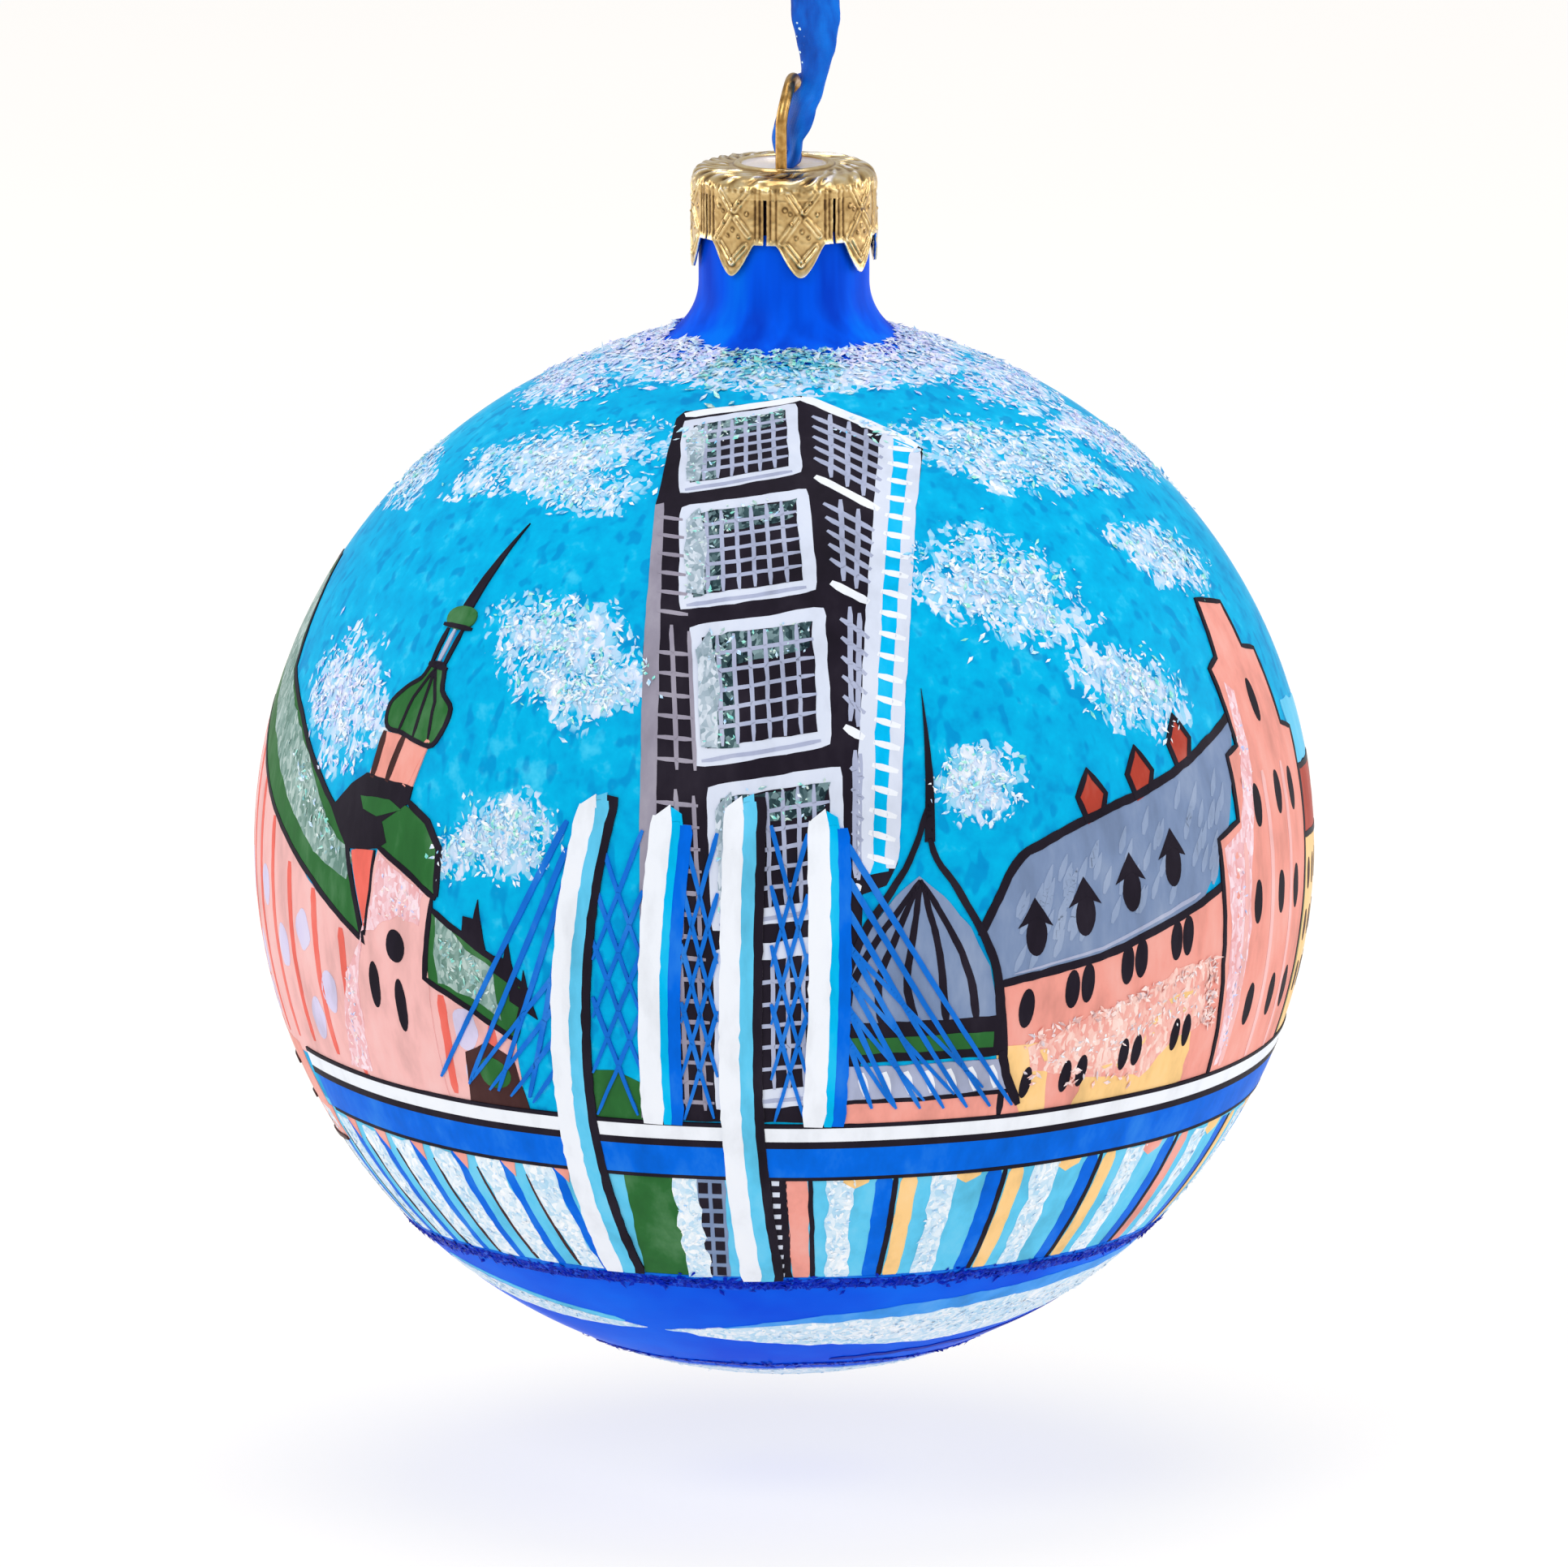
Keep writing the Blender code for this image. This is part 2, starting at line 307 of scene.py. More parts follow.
# Middle line from the knot, down in front, through the arch and up behind: x, y, z, width, twist
LOOP = (
    (0.0, -0.75, -0.1, 2.2, 0),
    (0.25, -1.6, -2.0, 3.6, 0),
    (0.5, -2.4, -4.4, 5.0, 0),
    (1.3, -5.2, -12.0, 6.0, 0),
    (2.2, -6.8, -22.0, 6.0, 4),
    (2.8, -6.4, -32.0, 6.0, 8),
    (2.9, -4.8, -41.0, 5.6, 12),
    (2.85, -3.4, -46.0, 4.8, 14),
    (2.95, -2.6, -50.0, 4.1, 18),
    (2.9, -2.0, -52.6, 3.1, 24),
    (2.72, -1.6, -54.6, 2.3, 34),
    (2.4, -1.5, -56.0, 2.5, 40),
    (1.68, -1.5, -57.2, 3.5, 44),
    (1.2, -1.5, -58.8, 3.3, 52),
    (0.86, -1.4, -60.2, 2.8, 64),
    (0.86, -1.2, -61.7, 2.2, 78),
    (0.62, -0.4, -62.6, 2.1, 96),
    (0.12, 0.4, -62.2, 2.1, 102),
    (-0.4, 0.9, -60.8, 1.9, 102),
    (-0.08, 1.5, -59.3, 1.8, 100),
    (0.36, 2.1, -58.1, 1.6, 98),
    (0.5, 2.7, -57.0, 1.5, 94),
    (0.74, 3.3, -56.15, 1.4, 90),
    (1.4, 3.5, -55.75, 1.4, 86),
    (2.25, 3.4, -55.2, 1.5, 76),
    (2.6, 3.2, -53.4, 1.9, 58),
    (2.8, 2.9, -51.4, 2.7, 38),
    (2.85, 2.9, -49.0, 3.6, 24),
    (2.75, 3.6, -45.6, 4.5, 16),
    (2.4, 5.0, -41.0, 5.4, 12),
    (1.9, 6.6, -32.0, 6.0, 8),
    (1.4, 6.9, -22.0, 6.0, 4),
    (0.8, 5.2, -12.0, 6.0, 0),
    (0.3, 2.4, -4.4, 5.0, 0),
    (0.15, 1.6, -2.0, 3.6, 0),
    (0.0, 0.75, -0.1, 2.2, 0),
)
LEFT_TAIL = ((-0.8, 0.2, 2.8, 1.8, 0), (-1.5, 0.4, 4.8, 2.8, -3), (-3.0, 0.8, 8.0, 4.9, -6),
    (-5.2, 0.9, 12.4, 5.6, -12), (-8.2, 0.4, 16.2, 5.6, -18))
RIGHT_TAIL = ((0.8, -0.2, 2.8, 1.8, 0), (1.5, -0.4, 4.8, 2.8, 3), (3.1, -0.9, 8.2, 4.9, 6),
    (4.9, -1.1, 13.0, 5.6, 10), (6.1, -1.6, 17.8, 5.6, 14))


def satin():
    look = Look("ribbon_satin", Roughness=0.4, Specular_IOR_Level=0.16, Anisotropic=0.5)
    look.set(Sheen_Weight=0.1, Sheen_Roughness=0.4, Sheen_Tint=linear((0, 120, 255)))
    look.place = look.node("UVMap")
    across, along = look.node("SeparateXYZ", (0, 1), {"Vector": look.place})
    weft = (along * (2 * math.pi / WEFT_STEP)).maths("SINE")
    warp = (across * (2 * math.pi / WARP_STEP)).maths("SINE")
    weave = weft * 0.5 + warp * 0.4
    cloudy = look.noise(0.9, 3.0, 0.5, (1.0, 0.3, 1.0))
    # Painted light: the satin is painted darker towards one edge as shade and lighter towards the other as
    # highlight.
    side = across * 0.09
    base = look.ramp(cloudy + side, (0.26, (0, 44, 136)), (0.48, (0, 82, 192)), (0.74, (0, 118, 230)))
    thread = weave * 0.12 + 0.5
    base = look.mix(thread, base, look.mix(0.4, base, (0, 108, 230)))
    edge = abs(across) > 0.5 * RIBBON_WIDTH - SELVEDGE
    base = look.mix(edge * 0.5, base, (24, 88, 214))
    dots = look.node("TexVoronoi", "Distance", {"Vector": look.place, "Scale": 1.8}) < 0.24
    strip = abs(across + 1.2) < 0.5
    chosen = look.noise(0.4, 1.0) > 0.4
    look.set(Base_Color=look.mix(dots * chosen * strip, base, (214, 244, 255)))
    look.bump(weave, 0.015, 0.5)
    return look.material


SATIN = satin()


def gathered(across, width):
    """Place across the ribbon (-1 to 1) turned into side and depth in mm, where it is gathered to a width."""
    share = min(0.97, width / RIBBON_WIDTH)
    half_turn = math.pi * (1.0 - share) * 1.9 + 0.25
    angle = half_turn * across
    reach = math.sin(min(half_turn, 0.5 * math.pi))
    deep = 0.5 * min(1.0, half_turn / 1.4) * min(1.0, 0.35 + 0.27 * width)
    return 0.5 * width * math.sin(angle) / reach, -deep * (math.cos(angle) - 0.3)


def ribbon_sheet(name, rows, body, cut=None):
    """The ribbon along rows of (x, y, z, width, twist), folded where it is narrower than it was woven."""
    centres = [np.array(row[:3]) for row in rows]
    verts, uvs, faces = [], [], []
    run = 0.0
    columns = RIBBON_COLUMNS + 1
    for i, row in enumerate(rows):
        ahead = centres[min(i + 1, len(rows) - 1)]
        behind = centres[max(i - 1, 0)]
        tangent = unit(ahead - behind)
        angle = math.radians(row[4])
        side = np.array((math.cos(angle), -math.sin(angle), 0.0))
        side = unit(side - tangent * (side @ tangent))
        out = np.cross(side, tangent)
        if i:
            run += np.linalg.norm(centres[i] - centres[i - 1])
        for j in range(columns):
            u = 2.0 * j / RIBBON_COLUMNS - 1.0
            along_side, depth = gathered(u, row[3])
            depth += 0.14 * noise.noise(Vector((u * 1.6, run * 0.2, 3.0)))
            depth += 0.2 * noise.noise(Vector((u * 2.6, run * 0.5, 7.0)))
            along_side *= 1.0 + 0.12 * noise.noise(Vector((0.4 * u, run * 0.45, 11.0)))
            shift = cut(u) if cut and i == len(rows) - 1 else 0.0
            point = centres[i] + side * along_side + out * depth + tangent * shift
            verts.append(tuple(point * MM))
            uvs.append((0.5 * RIBBON_WIDTH * u, run))
    for i in range(len(rows) - 1):
        for j in range(RIBBON_COLUMNS):
            a = i * columns + j
            faces.append((a, a + 1, a + columns + 1, a + columns))
    obj = add_piece(name, verts, faces, SATIN, body)
    unwrap(obj, uvs)
    thicken(obj, RIBBON_SHEET, 0.0)
    return obj


ribbon_rows = smooth_route(LOOP, 8)
ribbon = ribbon_sheet("ribbon_loop", ribbon_rows, None)
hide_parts("ribbon_bight", "ribbon_strand_front", "ribbon_strand_back")

left_tail = ribbon_sheet("ribbon_tail_a", smooth_route(LEFT_TAIL, 8), "ribbon", lambda u: 1.1 * u)
right_tail = ribbon_sheet("ribbon_tail_b", smooth_route(RIGHT_TAIL, 8), "ribbon", lambda u: -1.1 * u)
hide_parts("ribbon_tail_left")
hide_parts("ribbon_tail_right")

KNOT_MIDDLE = 1.9
KNOT_STEPS = 96
KNOT_RING = 14  # corners of the gathered ribbon's section
KNOT_ACROSS = 1.15
KNOT_THICK = 0.8


def knot_line():
    """A trefoil as wide as the tied ribbon is."""
    points = []
    for i in range(KNOT_STEPS):
        t = 2.0 * math.pi * (i / KNOT_STEPS) + 0.35
        x = 0.84 * (math.sin(t) + 2.0 * math.sin(2.0 * t))
        z = KNOT_MIDDLE + 0.56 * (math.cos(t) - 2.0 * math.cos(2.0 * t))
        points.append(np.array((x, -1.15 * math.sin(3.0 * t), z)))
    return points


def tied_knot():
    """The ribbon gathered to a creased, flattened tube along the knot's line."""
    points = knot_line()
    verts, uvs, faces = [], [], []
    for i, here in enumerate(points):
        after = (i + 1) % KNOT_STEPS
        tangent = unit(points[after] - points[i - 1])
        side = unit(np.cross(tangent, (0.0, 1.0, 0.0)))
        out = np.cross(side, tangent)
        for j in range(KNOT_RING):
            angle = 2.0 * math.pi * j / KNOT_RING
            crease = 1.0 + 0.14 * math.cos(5.0 * angle + 0.2 * i)
            point = here + side * KNOT_ACROSS * math.cos(angle) * crease
            point = point + out * KNOT_THICK * math.sin(angle) * crease
            verts.append(tuple(point * MM))
            uvs.append((0.4 * (j - 0.5 * KNOT_RING), 0.25 * i))
            k = (j + 1) % KNOT_RING
            faces.append([row * KNOT_RING + column for row, column in ((i, j), (i, k), (after, k), (after, j))])
    knot = add_piece("ribbon_knot_tied", verts, faces, SATIN, "ribbon")
    unwrap(knot, uvs)
    return knot


knot = tied_knot()
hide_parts("ribbon_knot")

cord_path = [tuple(row[:3] * MM) for row in ribbon_rows[::3]]
if tuple(ribbon_rows[-1][:3] * MM) != cord_path[-1]:
    cord_path.append(tuple(ribbon_rows[-1][:3] * MM))
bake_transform(ribbon)

# ---------------------------------------------------------------- wire hanger

WIRE_R = 0.55
ARCH_TOP_H = 73.35
ARCH_HALF = 3.75
LEAN_FOOT = (59.5, 62.5)  # the legs step sideways between these heights
LEAN_TOP = (69.2, 73.5)
LEAN = 0.32  # at the disc
LEAN_MORE = 0.46  # at the top of the arch
LEG = ((6.05, 44.0), (5.8, 48.5), (5.1, 55.0), (3.93, 59.8), (3.75, 61.0), (3.75, 66.0), (3.75, 68.5))


def brass():
    look = Look("drawn_brass", Metallic=1.0, Roughness=0.32)
    fine = look.noise(1400.0, 4.0)
    look.set(Base_Color=look.ramp(fine, (0.3, (156, 112, 56)), (0.5, (186, 144, 80)), (0.72, (214, 176, 112))))
    look.bump(look.noise(900.0, 2.0, 0.5, (4.0, 4.0, 0.3)), 0.02, 0.5)
    return look.material


def eased(value, low, high):
    t = min(1.0, max(0.0, (value - low) / (high - low)))
    return t * t * (3.0 - 2.0 * t)


def lean(height):
    """How far to the right the wire stands, in millimetres."""
    return LEAN * eased(height, *LEAN_FOOT) + LEAN_MORE * eased(height, *LEAN_TOP)


curve = bpy.data.curves.new("wire_ring", "CURVE")
curve.dimensions = "3D"
curve.bevel_depth = WIRE_R * MM
curve.bevel_resolution = 6
curve.use_fill_caps = True
leg = [tuple(row) for row in smooth_route(LEG, 6)]
crown = arc(0.0, ARCH_TOP_H - ARCH_HALF, ARCH_HALF, 0.0, 180.0, 36)
route = leg + crown + [(-along, height) for along, height in reversed(leg)]
spline = curve.splines.new("POLY")
spline.points.add(len(route) - 1)
for point, (along, height) in zip(spline.points, route):
    spot = RING_DIR * along * MM
    point.co = (spot[0] + lean(height) * MM, spot[1], up(height), 1.0)
spline.use_smooth = True
curve.materials.append(brass())
wire = add_object("wire_ring", curve)
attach(wire, "hanger")
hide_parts("wire_hanger")

# ---------------------------------------------------------------- crown cap

CAP_R = 8.7
CAP_SHEET = 0.25
PANELS = 8
PANEL_CELLS = 72
FIRST_SLIT = -12.0
SLIT_WIDTH = 0.32
SLIT_TOP_H = 63.2
SKIRT_END_H = 58.9
TIP_END_H = 55.8
TIP_HALF = 2.35
SHOULDER = 1.3
SHOULDER_H = 63.85
RING_SKEW = 0.5
RIDGES = 30
SKIRT_ROWS = 62
DISC_R, DISC_H = 4.0, 65.05
LIP_R = 4.85
WIRE_HOLE_R = 0.78
WIRE_HOLES = [(side * RING_DIR[0] * ARCH_HALF + LEAN, side * RING_DIR[1] * ARCH_HALF) for side in (-1, 1)]
HOLES_ABOVE = 64.0
# Pressed bars on each panel, in millimetres from its middle and above the ball's centre
BARS = (
    ((-1.25, 63.8), (-0.15, 62.15)),
    ((1.7, 63.8), (0.3, 62.1)),
    ((-0.2, 61.5), (-1.85, 59.2)),
    ((0.5, 61.3), (1.8, 59.8)),
    ((-1.35, 58.85), (0.0, 57.1)),
    ((1.45, 58.7), (0.0, 57.1)),
)
GROOVES = (-2.9, -2.35, 2.45, 2.9)
BEADS = ((-1.5, 62.3, 0.24), (-1.0, 61.9, 0.16), (0.1, 60.2, 0.2), (-0.45, 59.6, 0.16), (0.75, 59.6, 0.16),
    (1.6, 61.8, 0.2), (-0.9, 60.9, 0.14), (0.9, 62.9, 0.18))


def gap_to(p, q, start, end):
    """Distance of (p, q) from a line between two points."""
    dp, dq = end[0] - start[0], end[1] - start[1]
    t = ((p - start[0]) * dp + (q - start[1]) * dq) / (dp * dp + dq * dq)
    t = min(1.0, max(0.0, t))
    return math.hypot(p - start[0] - t * dp, q - start[1] - t * dq)


def hill(gap, width):
    return math.exp(-((gap / width) ** 2))


def panel_relief(p, q, low):
    """How far the pressed sheet stands out at a place of a panel, and how light it looks, with painted
    highlights and shade on the bars, grooves, beads and lower rim.
    """
    out, tone = 0.0, 0.55
    for start, end in BARS:
        gap = gap_to(p, q, start, end)
        out += 0.12 * hill(gap - 0.2, 0.14) - 0.05 * hill(gap, 0.09)
        # Painted highlights along the bars' flanks, painted shade along their middles and outer sides.
        tone += 0.2 * hill(gap - 0.2, 0.12) - 0.24 * hill(gap, 0.1) - 0.18 * hill(gap - 0.44, 0.12)
    for place in GROOVES:
        fade = eased(q, low + 0.2, low + 0.8)
        out -= 0.12 * hill(p - place, 0.11) * fade
        # Painted shade in the pressed grooves.
        tone -= 0.5 * hill(p - place, 0.1) * fade
    for bead_p, bead_q, radius in BEADS:
        gap = math.hypot(p - bead_p, q - bead_q)
        out += 0.12 * hill(gap, radius)
        # Painted highlight on each bead, painted shade in a ring round it.
        tone += 0.2 * hill(gap, 0.6 * radius) - 0.35 * hill(gap - radius, 0.08)
    # The raised lower rim is also painted lighter, a painted highlight.
    rim = hill(q - low, 0.3)
    return out + 0.1 * rim, tone + 0.3 * rim


def tip_shape(p):
    """Height of the skirt's lower edge."""
    t = min(1.0, abs(p) / TIP_HALF)
    point = (1.0583 - math.sqrt(t * t + 0.12)) / 0.7119
    return SKIRT_END_H - (SKIRT_END_H - TIP_END_H) * point * (1.0 - 0.35 * hill(t - 1.0, 0.22))


def cap_outline():
    """Rows of (radius, height, normal's two parts) from the middle to the tops of the slits."""
    rows = [(r, DISC_H, 0.0, 1.0) for r in (0.6, 1.4, 2.1, 2.6)]
    rows += [(2.6 + 0.13 * k, DISC_H, 0.0, 1.0) for k in range(1, 10)]
    for t in [k / 8 for k in range(9)]:
        height = DISC_H + 0.37 * math.sin(math.pi * t) ** 0.8 + 0.2 * t
        rows.append((3.85 + 0.95 * t, height, 0.3 * math.cos(math.pi * (1 - t)), 1.0))
    rows += [(4.8 + 2.6 * k / 20, 65.25 - 0.1 * k / 20, 0.04, 1.0) for k in range(1, 20)]
    for radius, height in arc(CAP_R - SHOULDER, SHOULDER_H, SHOULDER, 90.0, 0.0, 15):
        rows.append((radius, height, (radius - CAP_R + SHOULDER) / SHOULDER, (height - SHOULDER_H) / SHOULDER))
    rows += [(CAP_R, SHOULDER_H - 0.65 * k / 5, 1.0, 0.0) for k in range(1, 6)]
    return rows


def gold():
    look = Look("stamped_gold", Roughness=0.27)
    plain = look.node("Attribute", "Fac", attribute_name="tone")
    fine = look.noise(900.0, 4.0, 0.6)
    broad = look.noise(170.0)
    tone = plain + (fine - 0.5) * 0.35 + (broad - 0.5) * 0.5
    # Low tones are painted shade in grooves and creases and high tones painted highlights; the near-white, less
    # metallic top is the disc's painted reflection.
    dark = ((0.0, (60, 42, 30)), (0.22, (118, 90, 54)), (0.46, (186, 153, 100)))
    light = ((0.62, (216, 186, 130)), (0.8, (240, 218, 170)), (0.96, (253, 244, 238)))
    look.set(Base_Color=look.ramp(tone, *dark, *light), Metallic=look.ramp(plain, (0.9, 1.0), (0.97, 0.3)))
    look.bump(fine, 0.03, 0.5)
    return look.material


def crumpled(x, y, height, scale):
    return noise.noise(Vector((scale * x, scale * y, scale * height)))


def top_relief(angle, p, radius, height):
    """How far the sheet stands out above the slits, and how light it looks, with a painted reflection on the
    disc and painted highlights and shade on its edges, ridges, dent and crumples.
    """
    x, y = radius * math.sin(angle), -radius * math.cos(angle)
    crease = crumpled(x, y, height, 0.9)
    if radius < DISC_R:
        # Painted reflection: the flat disc is painted near white.
        return 0.0, 0.98
    if radius < LIP_R:
        # Painted shade in rings at the lip's and the disc's edges.
        return 0.02 * crease, 0.72 - 0.5 * hill(radius - LIP_R, 0.1) - 0.3 * hill(radius - DISC_R, 0.08)
    out, tone = 0.05 * crease, 0.62 + 0.3 * crease
    part = eased(radius, 5.0, 5.6) * (1.0 - eased(65.15 - height, 0.2, 0.95))
    swirl = math.sin(RIDGES * (angle + RING_SKEW * (radius - 5.0) / 3.0) + 1.6 * crease)
    swirl = math.copysign(abs(swirl) ** 0.7, swirl)
    strength = part * eased(noise.noise(Vector((0.45 * x, 0.45 * y, 7.0))), -0.45, 0.35)
    dent_and_shade = hill(math.hypot((x - 0.1) / 1.5, (y + 6.5) / 0.75), 1.0)
    # The ridges get painted highlights and shade, and the dent gets painted shade in its hollow.
    out += 0.13 * swirl * strength - 0.4 * dent_and_shade
    tone += 0.38 * swirl * strength - 0.75 * dent_and_shade
    if height < 64.5:
        # Painted highlights and shade on the crumples along the shoulder.
        crumple = crumpled(x, y, height, 3.2) * hill(height - 64.0, 0.35)
        relief, light = panel_relief(p, height, tip_shape(p))
        out += relief * (1.0 - eased(height, 63.3, 64.3)) + 0.09 * crumple
        tone = 0.5 * (tone + light + crumple)
    return out, tone


def skirt_relief(angle, p, height, low):
    """How far a panel stands out, and how light it looks, with the panel's painted highlights and shade, and
    lighter and darker creases.
    """
    x, y = CAP_R * math.sin(angle), -CAP_R * math.cos(angle)
    relief, light = panel_relief(p, height, low)
    crease = crumpled(x, y, height, 0.7)
    crumple = crumpled(x, y, height, 2.4)
    return relief + 0.06 * crease + 0.03 * crumple, light + 0.12 * crease + 0.12 * crumple


def cap_point(angle, radius, height, normal_r, normal_h, out):
    """A point of the sheet, moved out along its normal and off the wire's holes."""
    size = math.hypot(normal_r, normal_h)
    radius += out * normal_r / size
    height += out * normal_h / size
    x, y = radius * math.sin(angle), -radius * math.cos(angle)
    for hole_x, hole_y in WIRE_HOLES:
        dx, dy = x - hole_x, y - hole_y
        gap = math.hypot(dx, dy)
        if gap < WIRE_HOLE_R and height > HOLES_ABOVE:
            x += dx / gap * (WIRE_HOLE_R - gap)
            y += dy / gap * (WIRE_HOLE_R - gap)
    return (x * MM, y * MM, up(height))


def crown_cap():
    top = cap_outline()
    around = []
    half = math.pi * CAP_R / PANELS - 0.5 * SLIT_WIDTH
    for k in range(PANELS):
        middle = math.radians(FIRST_SLIT + (k + 0.5) * 360.0 / PANELS)
        for j in range(PANEL_CELLS + 1):
            p = half * (2.0 * j / PANEL_CELLS - 1.0)
            around.append((middle + p / CAP_R, p))
    # The middle of the disc starts near white, a painted reflection.
    verts, tones = [(0.0, 0.0, up(DISC_H))], [0.98]
    for radius, height, normal_r, normal_h in top:
        for angle, p in around:
            out, tone = top_relief(angle, p, radius, height)
            verts.append(cap_point(angle, radius, height, normal_r, normal_h, out))
            tones.append(tone)
    for k in range(1, SKIRT_ROWS + 1):
        for angle, p in around:
            low = tip_shape(p)
            height = SLIT_TOP_H + (low - SLIT_TOP_H) * k / SKIRT_ROWS
            out, tone = skirt_relief(angle, p, height, low)
            verts.append(cap_point(angle, CAP_R, height, 1.0, 0.0, out))
            tones.append(tone)
    count = len(around)
    faces = [(0, 1 + k, 1 + (k + 1) % count) for k in range(count)]
    for i in range(len(top) + SKIRT_ROWS - 1):
        in_top = i < len(top) - 1
        for k in range(count):
            if not in_top and k % (PANEL_CELLS + 1) == PANEL_CELLS:
                continue
            a, b = 1 + i * count + k, 1 + i * count + (k + 1) % count
            face = (a, a + count, b + count, b)
            x, y = (sum(verts[v][axis] for v in face) / 4 / MM for axis in (0, 1))
            gap = min(math.hypot(x - hole_x, y - hole_y) for hole_x, hole_y in WIRE_HOLES)
            if not (in_top and gap < WIRE_HOLE_R - 0.002 and verts[a][2] > up(HOLES_ABOVE)):
                faces.append(face)
    cap = add_piece("stamped_cap", verts, faces, gold(), "cap")
    # The tone attribute carries the painted highlights, painted shade and the disc's painted reflection.
    point_values(cap, "tone", tones)
    thicken(cap, CAP_SHEET, -1.0)
    return cap


cap = crown_cap()
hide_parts("crown_cap")

# ---------------------------------------------------------------- glass ball

GLASS_WALL = 1.0
NECK_R = 8.05
NECK_TOP_H = 63.4
FLARE_R = 6.0
BALL_MM = BALL_R / MM
FLARE_MIDDLE_R = NECK_R + FLARE_R
FLARE_MIDDLE_H = math.sqrt((BALL_MM + FLARE_R) ** 2 - FLARE_MIDDLE_R**2)
MEET = math.degrees(math.atan2(FLARE_MIDDLE_H, FLARE_MIDDLE_R))
TURN_STEPS = 224


def ball_outline():
    points = [(NECK_R, NECK_TOP_H), (NECK_R, 60.0), (NECK_R, 57.0)]
    points += arc(FLARE_MIDDLE_R, FLARE_MIDDLE_H, FLARE_R, 180.0, 180.0 + MEET, 16)
    points += arc(0.0, 0.0, BALL_MM, MEET, -90.0, 110)[1:-1]
    return points


def turned(name, outline, material, body):
    """A profile of (radius, height), closed at its lower end, turned about the hang line."""
    verts, faces = [], []
    for radius, height in outline:
        for k in range(TURN_STEPS):
            angle = 2.0 * math.pi * k / TURN_STEPS
            verts.append((radius * math.sin(angle) * MM, -radius * math.cos(angle) * MM, up(height)))
    for near in range(0, len(verts) - TURN_STEPS, TURN_STEPS):
        far = near + TURN_STEPS
        for k in range(TURN_STEPS):
            after = (k + 1) % TURN_STEPS
            faces.append((near + k, far + k, far + after, near + after))
    last, pole = len(verts) - TURN_STEPS, len(verts)
    verts.append((0.0, 0.0, up(-BALL_MM)))
    faces += [(last + k, pole, last + (k + 1) % TURN_STEPS) for k in range(TURN_STEPS)]
    return add_piece(name, verts, faces, material, body)


SKY = (0, 180, 230)
SKY_DARK = (0, 148, 208)
SKY_DABS = (0, 132, 200)
SKY_MIDDLE = (0, 168, 222)
SKY_LIGHT = (70, 205, 244)
ROYAL = (0, 88, 238)
DEEP = (0, 104, 242)
NECK_H = 47.7
BASE_H = -34.3
CAP_SHADE_H = 59.8  # above this the neck, under the cap, is painted near-black as painted shade seen through the slits


LACQUER = {"Specular_IOR_Level": 0.03, "Sheen_Weight": 0.45, "Sheen_Roughness": 0.1}


def sky_colour(look):
    """The sponged sky, with darker dabs, and its two noises."""
    sponge = look.noise(420.0, 3.0, 0.62)
    broad = look.noise(60.0, 3.0)
    tone = sponge * 0.75 + broad * 0.27
    sky = look.ramp(tone, (0.3, SKY_DARK), (0.44, SKY_MIDDLE), (0.58, SKY), (0.78, SKY_LIGHT))
    dabs = look.ramp(look.noise(700.0, 1.0, 0.5, (1.0, 1.0, 0.5)), (0.57, 0.0), (0.66, 0.6))
    return look.mix(dabs, sky, SKY_DABS), sponge, broad


def painted_glass():
    look = Look("painted_glass", Roughness=0.5, **LACQUER)
    sky, sponge, broad = sky_colour(look)
    height = look.node("SeparateXYZ", 2, {"Vector": look.place})
    height = height + (broad - 0.5) * (1.6 * MM)
    streaks = look.noise(240.0, 3.0, 0.5, (1.0, 1.0, 0.12))
    royal = look.ramp(streaks, (0.34, (0, 64, 204)), (0.5, ROYAL), (0.66, (0, 116, 246)))
    deep = look.ramp(look.noise(80.0, 3.0), (0.35, (0, 76, 226)), (0.65, DEEP))
    colour = look.mix(height < up(BASE_H), look.mix(height > up(NECK_H), sky, royal), deep)
    # Painted shade: the neck under the cap is near-black, as seen through the slits.
    look.set(Base_Color=look.mix(height > up(CAP_SHADE_H), colour, (26, 20, 40)))
    look.bump(sponge, 0.05, 0.55)
    return look.material


ball = turned("painted_ball", ball_outline(), painted_glass(), "ball")
thicken(ball, GLASS_WALL, -1.0)
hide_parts("glass_ball")

# ---------------------------------------------------------------- painting

PAINT = 0.02  # millimetres between layers of paint
sheets = {}


def on_ball(lon, s, h, lift=0.0):
    """A point s mm to the right of a longitude and h mm above the equator, both along the glass."""
    lat = h / BALL_MM
    turn = math.radians(lon) + s / (BALL_MM * max(0.05, math.cos(lat)))
    radius = (BALL_MM + lift) * MM
    return (
        radius * math.cos(lat) * math.sin(turn),
        -radius * math.cos(lat) * math.cos(turn),
        BALL_Z + radius * math.sin(lat),
    )


def keep(heap, name, verts, faces):
    all_verts, all_faces = heap.setdefault(name, ([], []))
    start = len(all_verts)
    all_verts.extend(verts)
    all_faces.extend(tuple(start + i for i in face) for face in faces)


def wobble(s, h, amount, seed):
    shift = noise.noise_vector(Vector((0.55 * s, 0.55 * h, seed)))
    return s + amount * shift.x, h + amount * shift.y


def dense(points, step, closed=True):
    """The same outline with no side longer than a step."""
    made = []
    ends = points[1:] + (points[:1] if closed else [])
    for (s0, h0), (s1, h1) in zip(points, ends):
        count = max(1, math.ceil(math.hypot(s1 - s0, h1 - h0) / step))
        made += [(s0 + (s1 - s0) * i / count, h0 + (h1 - h0) * i / count) for i in range(count)]
    return made if closed else made + [points[-1]]


